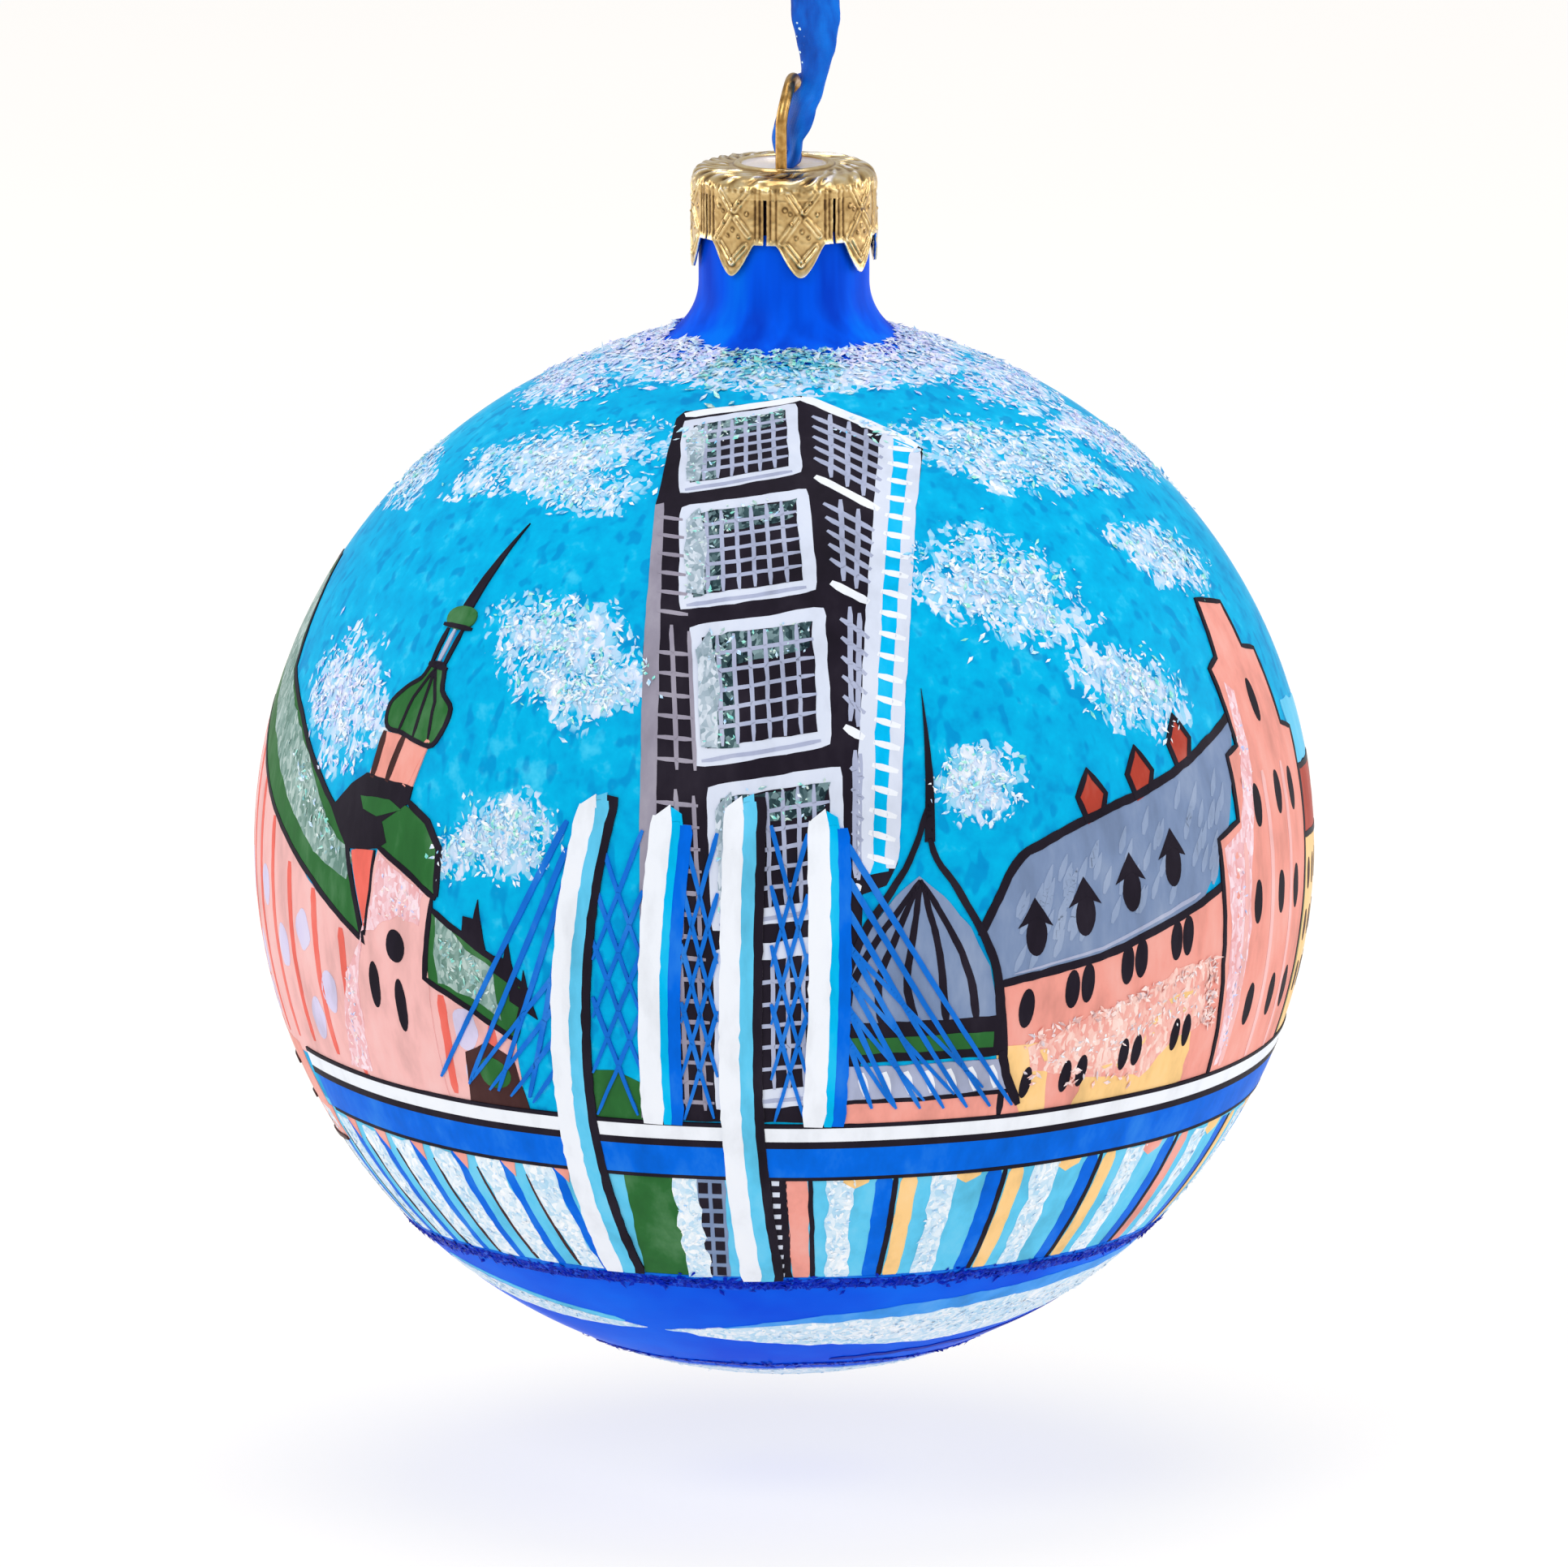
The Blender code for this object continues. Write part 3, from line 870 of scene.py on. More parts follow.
def patch(lon, colour, outline, layer, ragged=0.16):
    """A filled shape of paint, its edge a little unsteady."""
    seed = 0.37 * len(sheets.get(colour, ((), ()))[0])
    edge = [wobble(s, h, ragged, seed) for s, h in dense([tuple(p) for p in outline], 0.9)]
    count = len(edge)
    flat = [Vector(p) for p in edge]
    lows = [min(p[k] for p in edge) for k in (0, 1)]
    highs = [max(p[k] for p in edge) for k in (0, 1)]
    grid = 1.9
    for i in range(int((highs[0] - lows[0]) / grid) + 1):
        for j in range(int((highs[1] - lows[1]) / grid) + 1):
            flat.append(Vector((lows[0] + (i + 0.5) * grid, lows[1] + (j + 0.5) * grid)))
    found = geometry.delaunay_2d_cdt(flat, [], [list(range(count))], 1, 1e-5)
    points, triangles = found[0], [list(face) for face in found[2]]
    if not triangles:
        return
    sides = {}
    for face in triangles:
        for a, b in zip(face, face[1:] + face[:1]):
            sides[(a, b)] = True
    lift = 0.03 + PAINT * layer
    top = [on_ball(lon, p.x, p.y, lift) for p in points]
    low = [on_ball(lon, p.x, p.y, -0.03) for p in points]
    n = len(points)
    faces = [tuple(face) for face in triangles]
    faces += [tuple(n + i for i in reversed(face)) for face in triangles]
    faces += [(b, a, n + a, n + b) for a, b in sides if (b, a) not in sides]
    keep(sheets, colour, top + low, faces)


def stroke(lon, colour, points, width, layer, ends=0.6, shake=0.10):
    """A brush stroke along a line, with a width in millimetres or one for each end."""
    first, last = width if isinstance(width, tuple) else (width, width)
    line = dense([tuple(p) for p in points], 1.0, False)
    if len(line) < 3:
        line = dense([tuple(p) for p in points], 0.34 * math.dist(points[0], points[-1]), False)
    seed = 0.61 * len(sheets.get(colour, ((), ()))[0])
    line = [wobble(s, h, shake, seed) for s, h in line]
    lift = 0.03 + PAINT * layer
    verts, faces = [], []
    count = len(line)
    for i, (s, h) in enumerate(line):
        ahead, behind = line[min(i + 1, count - 1)], line[max(i - 1, 0)]
        ds, dh = ahead[0] - behind[0], ahead[1] - behind[1]
        size = math.hypot(ds, dh) or 1.0
        t = i / (count - 1)
        half = 0.5 * (first + (last - first) * t)
        half *= 1.0 + 0.16 * noise.noise(Vector((0.9 * i, seed, 1.0)))
        if i in (0, count - 1):
            half *= ends
        ns, nh = -dh / size * half, ds / size * half
        verts += [
            on_ball(lon, s + ns, h + nh, lift),
            on_ball(lon, s - ns, h - nh, lift),
            on_ball(lon, s - ns, h - nh, -0.03),
            on_ball(lon, s + ns, h + nh, -0.03),
        ]
    for i in range(count - 1):
        a, b = 4 * i, 4 * i + 4
        for k in range(4):
            faces.append((a + (k + 1) % 4, a + k, b + k, b + (k + 1) % 4))
    faces.append((0, 1, 2, 3))
    faces.append((b + 3, b + 2, b + 1, b))
    keep(sheets, colour, verts, faces)


OVAL_STEPS = 20


def oval(s, h, half_s, half_h):
    angles = [2.0 * math.pi * i / OVAL_STEPS for i in range(OVAL_STEPS)]
    return [(s + half_s * math.cos(angle), h + half_h * math.sin(angle)) for angle in angles]


def windows(fill, places, half_s, half_h, layer):
    for s, h in places:
        fill("black", oval(s, h, half_s, half_h), layer, 0.1)


def curved(points, steps):
    """A smooth line through the points."""
    return [tuple(row) for row in smooth_route(points, steps)]


def easel(lon):
    """The ways to fill a patch and to draw a stroke at a longitude."""
    return functools.partial(patch, lon), functools.partial(stroke, lon)


PAINTS = {
    "black": (34, 29, 40),
    "white": (236, 241, 250),
    "cable": (22, 112, 214),
    "cyan": (0, 184, 240),
    "pale_blue": (96, 200, 240),
    "green": (46, 106, 54),
    "salmon": (238, 158, 146),
    "blush": (240, 184, 182),
    "coral": (236, 108, 96),
    "yellow": (250, 206, 140),
    "slate": (122, 142, 178),
    "tower_grey": (150, 145, 162),
    "line_grey": (168, 176, 204),
    "lilac": (214, 206, 236),
    "brick": (176, 66, 52),
    "umber": (70, 44, 44),
    "frame": (212, 220, 238),
    "roof_light": (142, 160, 192),
    "royal": (0, 104, 226),
    "navy": (0, 34, 168),
    "streak": (64, 154, 240),
}
# Paints full of fine splinters: their deep, middle and light tones
GELS = {
    "gel_ice": ((178, 218, 243), (218, 236, 249), (247, 251, 255)),
    "gel_sage": ((100, 136, 126), (140, 170, 164), (186, 206, 202)),
    "gel_rose": ((238, 162, 152), (244, 190, 180), (251, 224, 216)),
    "gel_lilac": ((232, 170, 174), (240, 196, 204), (248, 226, 236)),
    "gel_dusk": ((22, 38, 46), (62, 88, 94), (130, 156, 162)),
    "gel_mist": ((128, 150, 162), (166, 184, 198), (212, 222, 234)),
    "gel_navy": ((0, 22, 140), (0, 42, 186), (24, 92, 226)),
}
INK = 0.45  # width of a fine outline

TOWER_LON, DOME_LON, HALL_LON, GABLE_LON, NEXT_LON, CHURCH_LON = 0, 15, 45, 68, 86, -50


def lerp(a, b, t):
    return (a[0] + (b[0] - a[0]) * t, a[1] + (b[1] - a[1]) * t)


def in_quad(quad, u, v):
    """A place in a four-sided shape given as top left, top right, bottom right, bottom left."""
    return lerp(lerp(quad[0], quad[1], u), lerp(quad[3], quad[2], u), v)


def inner_quad(quad, left, top, right, low):
    return [in_quad(quad, u, v) for u, v in ((left, top), (right, top), (right, low), (left, low))]


def rounded(quad, part=0.08):
    made = []
    for here, behind, ahead in zip(quad, quad[-1:] + quad[:-1], quad[1:] + quad[:1]):
        made += [lerp(here, behind, part), lerp(here, lerp(behind, ahead, 0.5), 0.3 * part),
            lerp(here, ahead, part)]
    return made


def lattice(draw, colour, quad, columns, rows, width, layer):
    for k in range(1, columns):
        draw(colour, [in_quad(quad, k / columns, 0.0), in_quad(quad, k / columns, 1.0)], width, layer)
    for k in range(1, rows):
        draw(colour, [in_quad(quad, 0.0, k / rows), in_quad(quad, 1.0, k / rows)], width, layer)


def band(colour, heights, layer, start=-180.0, end=180.0, shake=0.12):
    """A stripe round the ball between two heights, each a function of the longitude."""
    steps = max(8, int((end - start) / 1.6))
    whole = end - start > 359.0
    lift = 0.03 + PAINT * layer
    verts, faces = [], []
    for k in range(steps if whole else steps + 1):
        lon = start + (end - start) * k / steps
        turn = math.radians(lon)
        drift = shake * noise.noise(Vector((3.0 * math.cos(turn), 3.0 * math.sin(turn), layer)))
        high, low = heights(lon)
        rows = max(2, int((high - low) / 2.0) + 2)
        line = [high + drift + (low - high) * j / (rows - 1) for j in range(rows)]
        verts += [on_ball(lon, 0.0, h, lift) for h in line] + [on_ball(lon, 0.0, h, -0.03)
            for h in reversed(line)]
    ring = 2 * rows
    count = len(verts) // ring
    for k in range(count if whole else count - 1):
        a, b = k * ring, ((k + 1) % count) * ring
        for j in range(ring):
            faces.append((a + j, a + (j + 1) % ring, b + (j + 1) % ring, b + j))
    if not whole:
        faces.append(tuple(range(ring))[::-1])
        faces.append(tuple((count - 1) * ring + j for j in range(ring)))
    keep(sheets, colour, verts, faces)


def level(high, low):
    return lambda lon: (high, low)


def deck(high, low):
    """Heights of a stripe of the bridge's deck, which sags a little in front."""
    return lambda lon: tuple(h + 1.4 * (1.0 - math.cos(math.radians(lon))) for h in (high, low))


# -- under the deck and the bottom
STRIPES, STRIPE_TURN = 18, 14.2
BOTTOM_LON, SWATH_LON, ABUTMENT_LON = 26, -48, -84
LEFT_STRIPES, LEFT_STRIPE_LON, LEFT_STRIPE_TURN = 7, -31, 7.6
band("pale_blue", level(-22.5, -38.4), 0)
for k in range(1, STRIPES + 1):
    fill, draw = easel(STRIPE_TURN * k)
    warm = "salmon" if k % 4 == 0 else "yellow"
    draw("royal", [(-1.5, -23.8), (-1.1, -38.2)], (1.7, 1.4), 1)
    draw("black", [(-0.4, -23.8), (-0.2, -38.2)], 0.55, 2)
    draw(warm, [(0.9, -23.8), (0.9, -38.2)], (1.7, 1.4), 1)
    fill("gel_ice", [(3, -24), (5.7, -24), (4.9, -37.8), (3, -37.8)], 1, 0.5)
    fill(warm, [(-5.6, -23), (-2.8, -23), (-3, -24.6), (-4.2, -25.4), (-5.4, -24.6)], 1)
fill, draw = easel(TOWER_LON)
draw("salmon", [(1.2, -23.5), (1.6, -38.2)], (2.1, 1.6), 1)
draw("black", [(2.5, -23.6), (2.7, -38.2)], INK, 2)
fill("gel_ice", [(4, -24), (6.6, -24), (5.8, -38), (4, -38)], 1, 0.5)
fill("black", [(-2.4, -23.2), (0.2, -23.2), (0.8, -38.4), (-1.6, -38.4)], 1)
for k in range(10):
    s, h = -0.8 + 0.06 * k, -24.6 - 1.4 * k
    block = [(s - 0.36, h + 0.28), (s + 0.36, h + 0.28), (s + 0.34, h - 0.28), (s - 0.34, h - 0.28)]
    fill("frame", block, 2, 0.05)
fill("green", [(-15.4, -23), (-9.2, -23), (-8.9, -37.8), (-13.2, -37.8)], 1)
fill("slate", [(-8.6, -23), (-5.6, -23), (-5, -38), (-8.2, -38)], 1)
for k in range(7):
    for s in (-7.6, -6.3):
        left, high = s + 0.08 * k - 0.46, -24.7 - 1.9 * k
        pane = [(left, high), (left + 0.9, high), (left + 0.94, high - 1.3), (left + 0.04, high - 1.3)]
        fill("black", pane, 2, 0.05)
for k in range(LEFT_STRIPES):
    fill, draw = easel(LEFT_STRIPE_LON - LEFT_STRIPE_TURN * k)
    draw("royal", [(1.7, -23.2), (2.6, -38.2)], (1.2, 0.8), 1)
    fill("gel_ice", [(-1.8, -24), (1.2, -24), (2.1, -37.8), (0, -37.8)], 2, 0.45)
    draw("umber", [(-1.9, -25.4), (-0.2, -37.4)], (0.2, 0.4), 3)
    fill("salmon", [(1, -23.2), (3.4, -23.2), (2.6, -25.8)], 3)

band("royal", level(-37.6, -39.4), 3)
band("gel_navy", level(-38, -39.5), 4, shake=0.5)
band("gel_navy", level(-58.6, -59.3), 4, shake=0.8)
band("gel_ice", level(-61.4, -67.5), 4, shake=1.2)
for lon, s0, h0, s1, h1, width in (
    (SWATH_LON, -14, -42.4, 10, -48.8, 3.6),
    (-100, -12, -46.4, 12, -43.8, 3),
    (120, -12, -45.6, 14, -48.8, 3.4),
    (178, -12, -44.8, 12, -47.4, 3),
):
    fill, draw = easel(lon)
    along = [lerp((s0, h0), (s1, h1), i / 16) for i in range(17)]
    swell = [math.sin(math.pi * (i / 16) ** 0.7) ** 0.7 for i in range(17)]
    bow = [1.2 * math.sin(math.pi * i / 16) for i in range(17)]
    high = [(s, h - b + 0.5 * width * w) for (s, h), b, w in zip(along, bow, swell)]
    low = [(s, h - b - 0.5 * width * w) for (s, h), b, w in zip(along, bow, swell)]
    fill("gel_ice", high + low[-2:0:-1], 2, 0.4)
    draw("pale_blue", [(s, h + 0.5) for s, h in high[1:-1]], (0.5, 1.1), 1, 0.2)

stroke(40, "navy", [(-10.3, -56.7), (3, -54.6), (15.5, -50)], 0.9, 3, 0.6, 0.5)
patch(BOTTOM_LON, "gel_ice", [(-24.4, -48.8), (-13.5, -46.6), (-1.1, -45.4), (13.5, -43.5), (29.4, -41.5),
    (28, -47), (23.1, -48.6), (10.8, -51.5), (2, -52.6), (-12.6, -51.2)], 2, 0.5)
patch(BOTTOM_LON, "streak", [(-21, -48.2), (-12, -45.2), (-2.3, -43.2), (13, -41.4), (30, -39.9), (30, -42.5),
    (13, -44.6), (-1, -46.5), (-13.5, -47.8)], 1, 0.3)

fill, draw = easel(ABUTMENT_LON)
fill("salmon", [(-9, -17), (7, -17), (8.6, -27), (-9, -29)], 2)
draw("umber", [(-8.9, -17), (-8.9, -28.9)], 0.5, 10, 0.8)
draw("umber", [(-9, -28.9), (8.4, -27)], 0.5, 10, 0.8)
draw("umber", [(-8.8, -20.6), (2, -20)], 0.5, 10, 0.8)
draw("umber", [(-8.8, -24.8), (2, -23.6)], 0.5, 10, 0.8)

patch(TOWER_LON, "gel_ice", [(-10.6, -24), (-8.2, -24), (-6.7, -37.8), (-9, -37.8)], 3, 0.5)

# -- tower
fill, draw = easel(TOWER_LON)
SKYLINE = [(-10.4, 55), (-9.5, 56.2), (1.5, 59.4), (2.6, 59), (13.6, 50.3), (12.6, 43), (11.9, 32.3),
    (11.2, 20), (10.6, 7.6), (9.6, 5.6), (7.3, 4.9), (7, -17.6), (-13.4, -17.6), (-13.5, 12.3), (-13.3, 28),
    (-12.2, 43.6)]
fill("black", SKYLINE, 1, 0.1)
fill("tower_grey", [(-12.3, 43.4), (-11.4, 43.7), (-11.7, 30), (-12, 12.3), (-11.9, -17.5), (-13.5, -17.5),
    (-13.6, 12.3), (-13.3, 28)], 2, 0.08)
for k in range(29):
    h = 42 - 2.05 * k
    if k not in (6, 13):
        inner = -9.6 + 3.2 * (43 - h) / 60
        draw("tower_grey", [(-12, h), (inner, h - 0.2)], 0.42, 3, 0.6, 0.06)
for h0, h1 in ((30.4, 16.4), (14.6, 0.6), (-1.4, -16.4)):
    draw("tower_grey", [(-10.6 + 0.03 * (30 - h0), h0), (-10.4 + 0.03 * (30 - h1), h1)], 0.45, 3, 0.6, 0.06)
    draw("tower_grey", [(-8.6 + 0.03 * (20 - h0), h0 - 0.6), (-8.4 + 0.03 * (20 - h1), h1)], 0.4, 3, 0.6, 0.06)
FRONTS = (
    ((-9.7, 54.7), (1.2, 58.2), (1.7, 47.9), (-10.1, 44.8)),
    ((-9.9, 43.4), (2.2, 46), (3.2, 34.2), (-9.9, 31.9)),
    ((-9, 30.4), (3.8, 32.6), (4.5, 18.8), (-8.4, 16.6)),
    ((-7.2, 15), (5.4, 17), (5.8, 3.2), (-6.8, 1.4)),
    ((-6.6, -0.2), (5.8, 1.4), (6, -15.4), (-6.4, -16.4)),
)
for quad in FRONTS:
    quad = list(quad)
    fill("frame", rounded(quad), 2)
    inside = inner_quad(quad, 0.1, 0.1, 0.9, 0.88)
    fill("black", inside, 3)
    if quad[0][1] > 0:
        corner = [(0, 0), (1, 0), (0.96, 0.24), (0.3, 0.28), (0.27, 1), (0, 1)]
        fill("gel_dusk", [in_quad(inside, u, v) for u, v in corner], 4, 0.4)
        hazed = [(-0.06, 0.1), (0.08, -0.05), (0.14, 0.3), (0.1, 1.02), (-0.05, 0.96)]
        fill("gel_mist", [in_quad(inside, u, v) for u, v in hazed], 6, 0.35)
    lattice(draw, "line_grey", inside, 7, 6, 0.4, 5)
    draw("line_grey", [in_quad(quad, 0.92, 0.95), in_quad(quad, 0.06, 0.96)], 0.4, 3)
SIDES = (
    ((2.6, 57.4), (9.6, 52.4), (9, 43.6), (2.9, 48.4)),
    ((3.6, 45.6), (8.6, 42), (8, 33.4), (4.4, 36)),
    ((5.2, 33.2), (8, 31), (7.5, 20), (5.6, 21.6)),
    ((6.2, 18.8), (7.5, 17.6), (7.2, 6), (6.4, 6.6)),
)
for k, quad in enumerate(SIDES):
    lattice(draw, "line_grey", list(quad), 4 if k < 1 else 3, 6, 0.5, 3)
    draw("white", [(quad[3][0], quad[3][1] - 1), (quad[2][0], quad[2][1] - 0.6)], 0.8, 3)
draw("white", [(1.6, 59), (2.4, 58.6), (9.9, 53), (12.9, 50.5)], 1.1, 2)
draw("white", [(-9.6, 55.6), (1.6, 58.9)], 0.9, 2)
draw("frame", [(9.9, 52.8), (9.2, 43), (8.4, 32), (7.8, 20), (7.6, 6.8)], 1.5, 3)
draw("frame", [(12.8, 50.4), (12, 43), (11.3, 32), (10.6, 20), (10, 7.2)], 1.3, 3)
fill("cyan", [(10, 52.4), (12.6, 50.6), (11.8, 43), (11.1, 32), (10.3, 20), (9.8, 7), (7.6, 6.6), (7.9, 20),
    (8.5, 32), (9.3, 43)], 2, 0.08)
for k in range(21):
    h = 50.6 - 2.12 * k
    s = 7.7 + 2.3 * ((h - 6) / 45)
    draw("white", [(s, h + 0.3), (s + 2.5, h - 0.5)], 0.62, 3)

# -- dome
fill, draw = easel(DOME_LON)
DOME = [(-0.3, 6.4), (2, 4.4), (4.6, 1.2), (6.6, -2.6), (7.7, -7.9), (-8.3, -7.9), (-7.6, -3), (-5.6, 1),
    (-2.6, 4.6)]
fill("slate", DOME, 4)
for tip, foot in ((-7.6, -7), (-4.2, -4.4), (-1, -1.6), (2, 2), (5, 4.8)):
    line = [(-0.2, 6), (0.62 * foot, 0.6), (0.96 * foot, -3.6), (tip + 0.4, -7.7)]
    draw("black", curved(line, 5), (0.5, 0.8), 5)
for side in (-1, 1):
    line = [(0.9, 13), (0.2 + side * 1, 8.6), (0.2 + side * 3.2, 5), (side * 5.6, 1.2), (side * 7.2, -2.8),
        (side * 7.9, -7.8)]
    draw("black", curved(line, 5), (0.5, 1), 6)
fill("black", [(1.3, 24), (1.6, 16), (1.4, 9.5), (0.4, 9.5), (0.9, 16)], 6, 0.05)
fill("black", [(-8.6, -7.4), (8.4, -7.4), (8.4, -11.4), (-8.6, -11.4)], 5)
fill("green", [(-8.2, -8.9), (7.2, -8.9), (7.2, -10.5), (-8.2, -10.5)], 6)
fill("line_grey", [(-8.4, -11.8), (8, -11.8), (9.4, -15), (-8.8, -15.4)], 5)
for k in range(8):
    draw("white", [(-7.6 + 2.1 * k, -12.4), (-6.9 + 2.1 * k, -14.8)], 0.8, 6)
draw("black", [(8.1, -11), (8.7, -13.4), (10.2, -16.8)], 0.9, 7)
fill("salmon", [(-8.8, -15.6), (9.6, -15.2), (10.6, -17.8), (-8.8, -17.8)], 4)
draw("black", [(-8.8, -15.5), (9.8, -15.2)], INK, 6)

# -- long hall with a slate roof
fill, draw = easel(HALL_LON)
ROOF = [(-20.4, 0.6), (-16.4, 6.9), (-13, 8.6), (-7.8, 10.3), (3, 13), (14.4, 17.2), (10, 6), (5.6, 0.6),
    (-1, -1), (-7.7, -2.7), (-18.6, -4.2)]
WALL = [(-18.6, -4.2), (-7.7, -2.7), (5.6, 0.6), (12.6, 2.4), (12.8, -17.4), (-4.7, -18.2), (-16, -18)]
fill("salmon", WALL, 1)
fill("yellow", [(-18, -10.6), (-12.6, -10.6), (-11.4, -17.9), (-16.4, -18)], 2)
fill("yellow", [(-8, -14.6), (-2, -13.2), (1, -8.4), (5.4, -7.6), (5.8, -17.4), (-8.2, -17.9)], 2, 0.5)
fill("slate", ROOF, 2)
for k in range(70):
    u, v = random.random(), random.random()
    s, h = in_quad([(-16.6, 4.6), (11.4, 14.4), (7.4, 3.2), (-18, -2.6)], u, v)
    draw("roof_light", [(s, h - 1.2), (s + 1.1, h + 1.3)], (1, 0.35), 3, 0.3)
draw("line_grey", [(-17, -3.5), (-7.4, -2), (5.4, 1.5)], (0.2, 0.45), 3, 0.3)
RIDGE = ((-20.6, 0.4), (-16.6, 6.8), (-13, 8.7), (-7.8, 10.4), (3, 13.1), (15, 17.4))
draw("black", curved(RIDGE, 5), 0.85, 4)
draw("black", [(-18.8, -4.4), (-7.7, -2.9), (-1, -1.2), (5.6, 0.5), (9.6, 1.8)], 0.8, 4)
draw("black", [(-18.6, -4.2), (-17.2, -10.6), (-16.2, -17.8)], 0.7, 4)
for s, h in ((-14.8, 0.6), (-9.4, 2), (-3.9, 3.6), (1.6, 5.2)):
    fill("black", oval(s, h - 0.6, 1.1, 2), 4, 0.1)
    fill("black", [(s - 1.9, h + 0.2), (s - 0.1, h + 3), (s + 1.8, h + 0.2), (s, h + 0.9)], 4, 0.1)
for s, h in ((-7.4, 10.2), (-1.2, 11.6), (4.9, 13.8)):
    fill("brick", [(s - 0.9, h - 0.4), (s - 1.5, h + 2.2), (s, h + 4.4), (s + 1.5, h + 2.2),
        (s + 0.9, h + 0.2)], 3, 0.05)
    draw("black", [(s - 0.9, h - 0.2), (s - 1.6, h + 2.2), (s, h + 4.6), (s + 1.6, h + 2.2),
        (s + 0.9, h + 0.4)], 0.55, 5, 1, 0.04)
UPPER = ((-15.4, -7), (-10.6, -5.6), (-8.9, -5.2), (-4.3, -4), (-2.6, -3.6), (2, -2.6), (3.6, -2.3))
LOWER = ((-14.2, -14.6), (-9.9, -14.4), (-8.2, -14), (-3.4, -13), (-1.8, -12.8), (3.2, -12), (4.8, -11.8))
windows(fill, UPPER, 0.78, 1.9, 3)
windows(fill, LOWER, 0.6, 1.65, 3)

# -- stepped gable
fill, draw = easel(GABLE_LON)
GABLE = [(-8.5, -18), (-10.5, -6), (-11.4, 6), (-7.6, 7.2), (-7.4, 13.4), (-5.2, 14), (-5.3, 21.6),
    (-3.4, 22.4), (-1.6, 28.2), (3.2, 27), (3.2, 22.4), (6.2, 21.6), (6.6, 14.2), (9.6, 13.2), (9.2, 4.5),
    (8.4, -5), (7.4, -17.4)]
fill("salmon", GABLE, 5)
draw("black", GABLE, 0.5, 7)
high_panes = ((1, 17.4), (-3.6, 8), (1.6, 8.4), (5.6, 8))
low_panes = ((-4.6, -1), (0.8, -1), (5.2, -1.2), (-4.2, -11), (1, -11), (5, -11))
windows(fill, high_panes + low_panes, 0.8, 2.1, 6)
for s in (-6.9, -1.4, 3.6):
    draw("blush", [(s, 11 if s > -6 else 5), (s, -16.8)], 0.8, 6)

# -- the house next to the gable
fill, draw = easel(NEXT_LON)
fill("yellow", [(-6, 3), (6, 2), (6, -17.8), (-6, -17.8)], 3)
fill("brick", [(-6.4, 3), (-5.6, 9), (5.6, 8.4), (6.6, 2)], 4)
fill("pale_blue", [(-6.4, 9.6), (-6, 16), (4, 14.6), (5.4, 9)], 3, 0.4)
draw("black", [(-6.6, 2.8), (6.6, 1.8)], 0.6, 6)
draw("black", [(-6.4, 3), (-5.6, 9.2), (5.8, 8.6), (6.6, 2)], 0.6, 6)
for k in range(12):
    fill("umber", oval(-4.4 + 2.9 * (k % 4), -1.2 - 5 * (k // 4), 0.7, 1.5), 4, 0.1)

# -- church
fill, draw = easel(CHURCH_LON)
NAVE = [(-43.6, 10.5), (-34, 15), (-27, 11.5), (-22, 9), (-11.4, 1), (-1.7, -3.4), (6.3, -5.6), (16.5, -10.2),
    (15.8, -17.6), (-18, -17.6), (-40, -17.6)]
fill("blush", NAVE, 1)
BOARDS = ((-39.6, 11, -17), (-35.5, 13, -17), (-30.4, 10.4, -17), (-26, 8.2, -16.4), (-21, 5.4, -16),
    (-15.9, 2, -15.6), (-10.4, 0.4, -16), (-5.4, -2.5, -17.2), (8.4, -7, -17), (13.9, -9.4, -17.2))
for s, h, foot in BOARDS:
    draw("coral", [(s, h), (0.99 * s, 0.5 * (h + foot)), (0.93 * s, foot)], (1.05, 0.8), 2)
DABS = ((-33, -2), (-28.2, -9), (-23.6, -1.6), (-18.4, -6.6), (-13, -4), (-8.6, -9.4), (-12, -12.6),
    (10.8, -10), (11.2, -14.6), (-28, -13.6), (4.6, -14.8), (0.6, -14.4))
for s, h in DABS:
    fill("lilac", oval(s, h, 1.4, 2.1), 2, 0.4)
LEFT_ROOF = [(-43.5, 14), (-35.5, 28.5), (-30, 29), (-27.5, 25), (-24.9, 18.8), (-18.4, 15.8), (-15.4, 13.8),
    (-7.7, 8.8), (-4.6, 5.6), (-1.7, -3.3), (-11.4, 1.6), (-22.2, 6.6), (-27.7, 9.4), (-35, 14), (-44, 9)]
fill("green", LEFT_ROOF, 2)
draw("black", LEFT_ROOF + LEFT_ROOF[:1], 0.65, 4)
draw("black", [(-43.5, 9.4), (-42, 0), (-40, -17.6)], 0.6, 3, 0.9)
fill("blush", [(0.2, 5.8), (7.6, 2.4), (7, -6), (6.8, -17.4), (-4.4, -17.4), (-3.6, -8), (-1.7, -3)], 3)
fill("coral", [(-3.8, 5.2), (-0.3, 5.7), (-0.6, 1.8), (-1.5, -2.4), (-2.6, 1)], 4)
draw("black", [(-0.3, 5.6), (-0.6, 1.8), (-1.5, -2.6)], 0.35, 5)
draw("black", [(7.7, 2.2), (7.1, -2), (6.6, -5.8)], 0.5, 5)
for s, h, half_s, half_h in ((2.9, -3, 1.25, 1.6), (-0.5, -7.2, 0.75, 2.3), (3, -8.8, 0.72, 2.6)):
    windows(fill, [(s, h)], half_s, half_h, 5)
SIDE_ROOF = [(7.6, 1.2), (10.6, -0.4), (14.6, -2.6), (18.4, -5.4), (16.4, -10.4), (12, -8), (6.5, -5.6)]
fill("green", SIDE_ROOF, 2)
draw("black", SIDE_ROOF + SIDE_ROOF[:1], 0.6, 4)
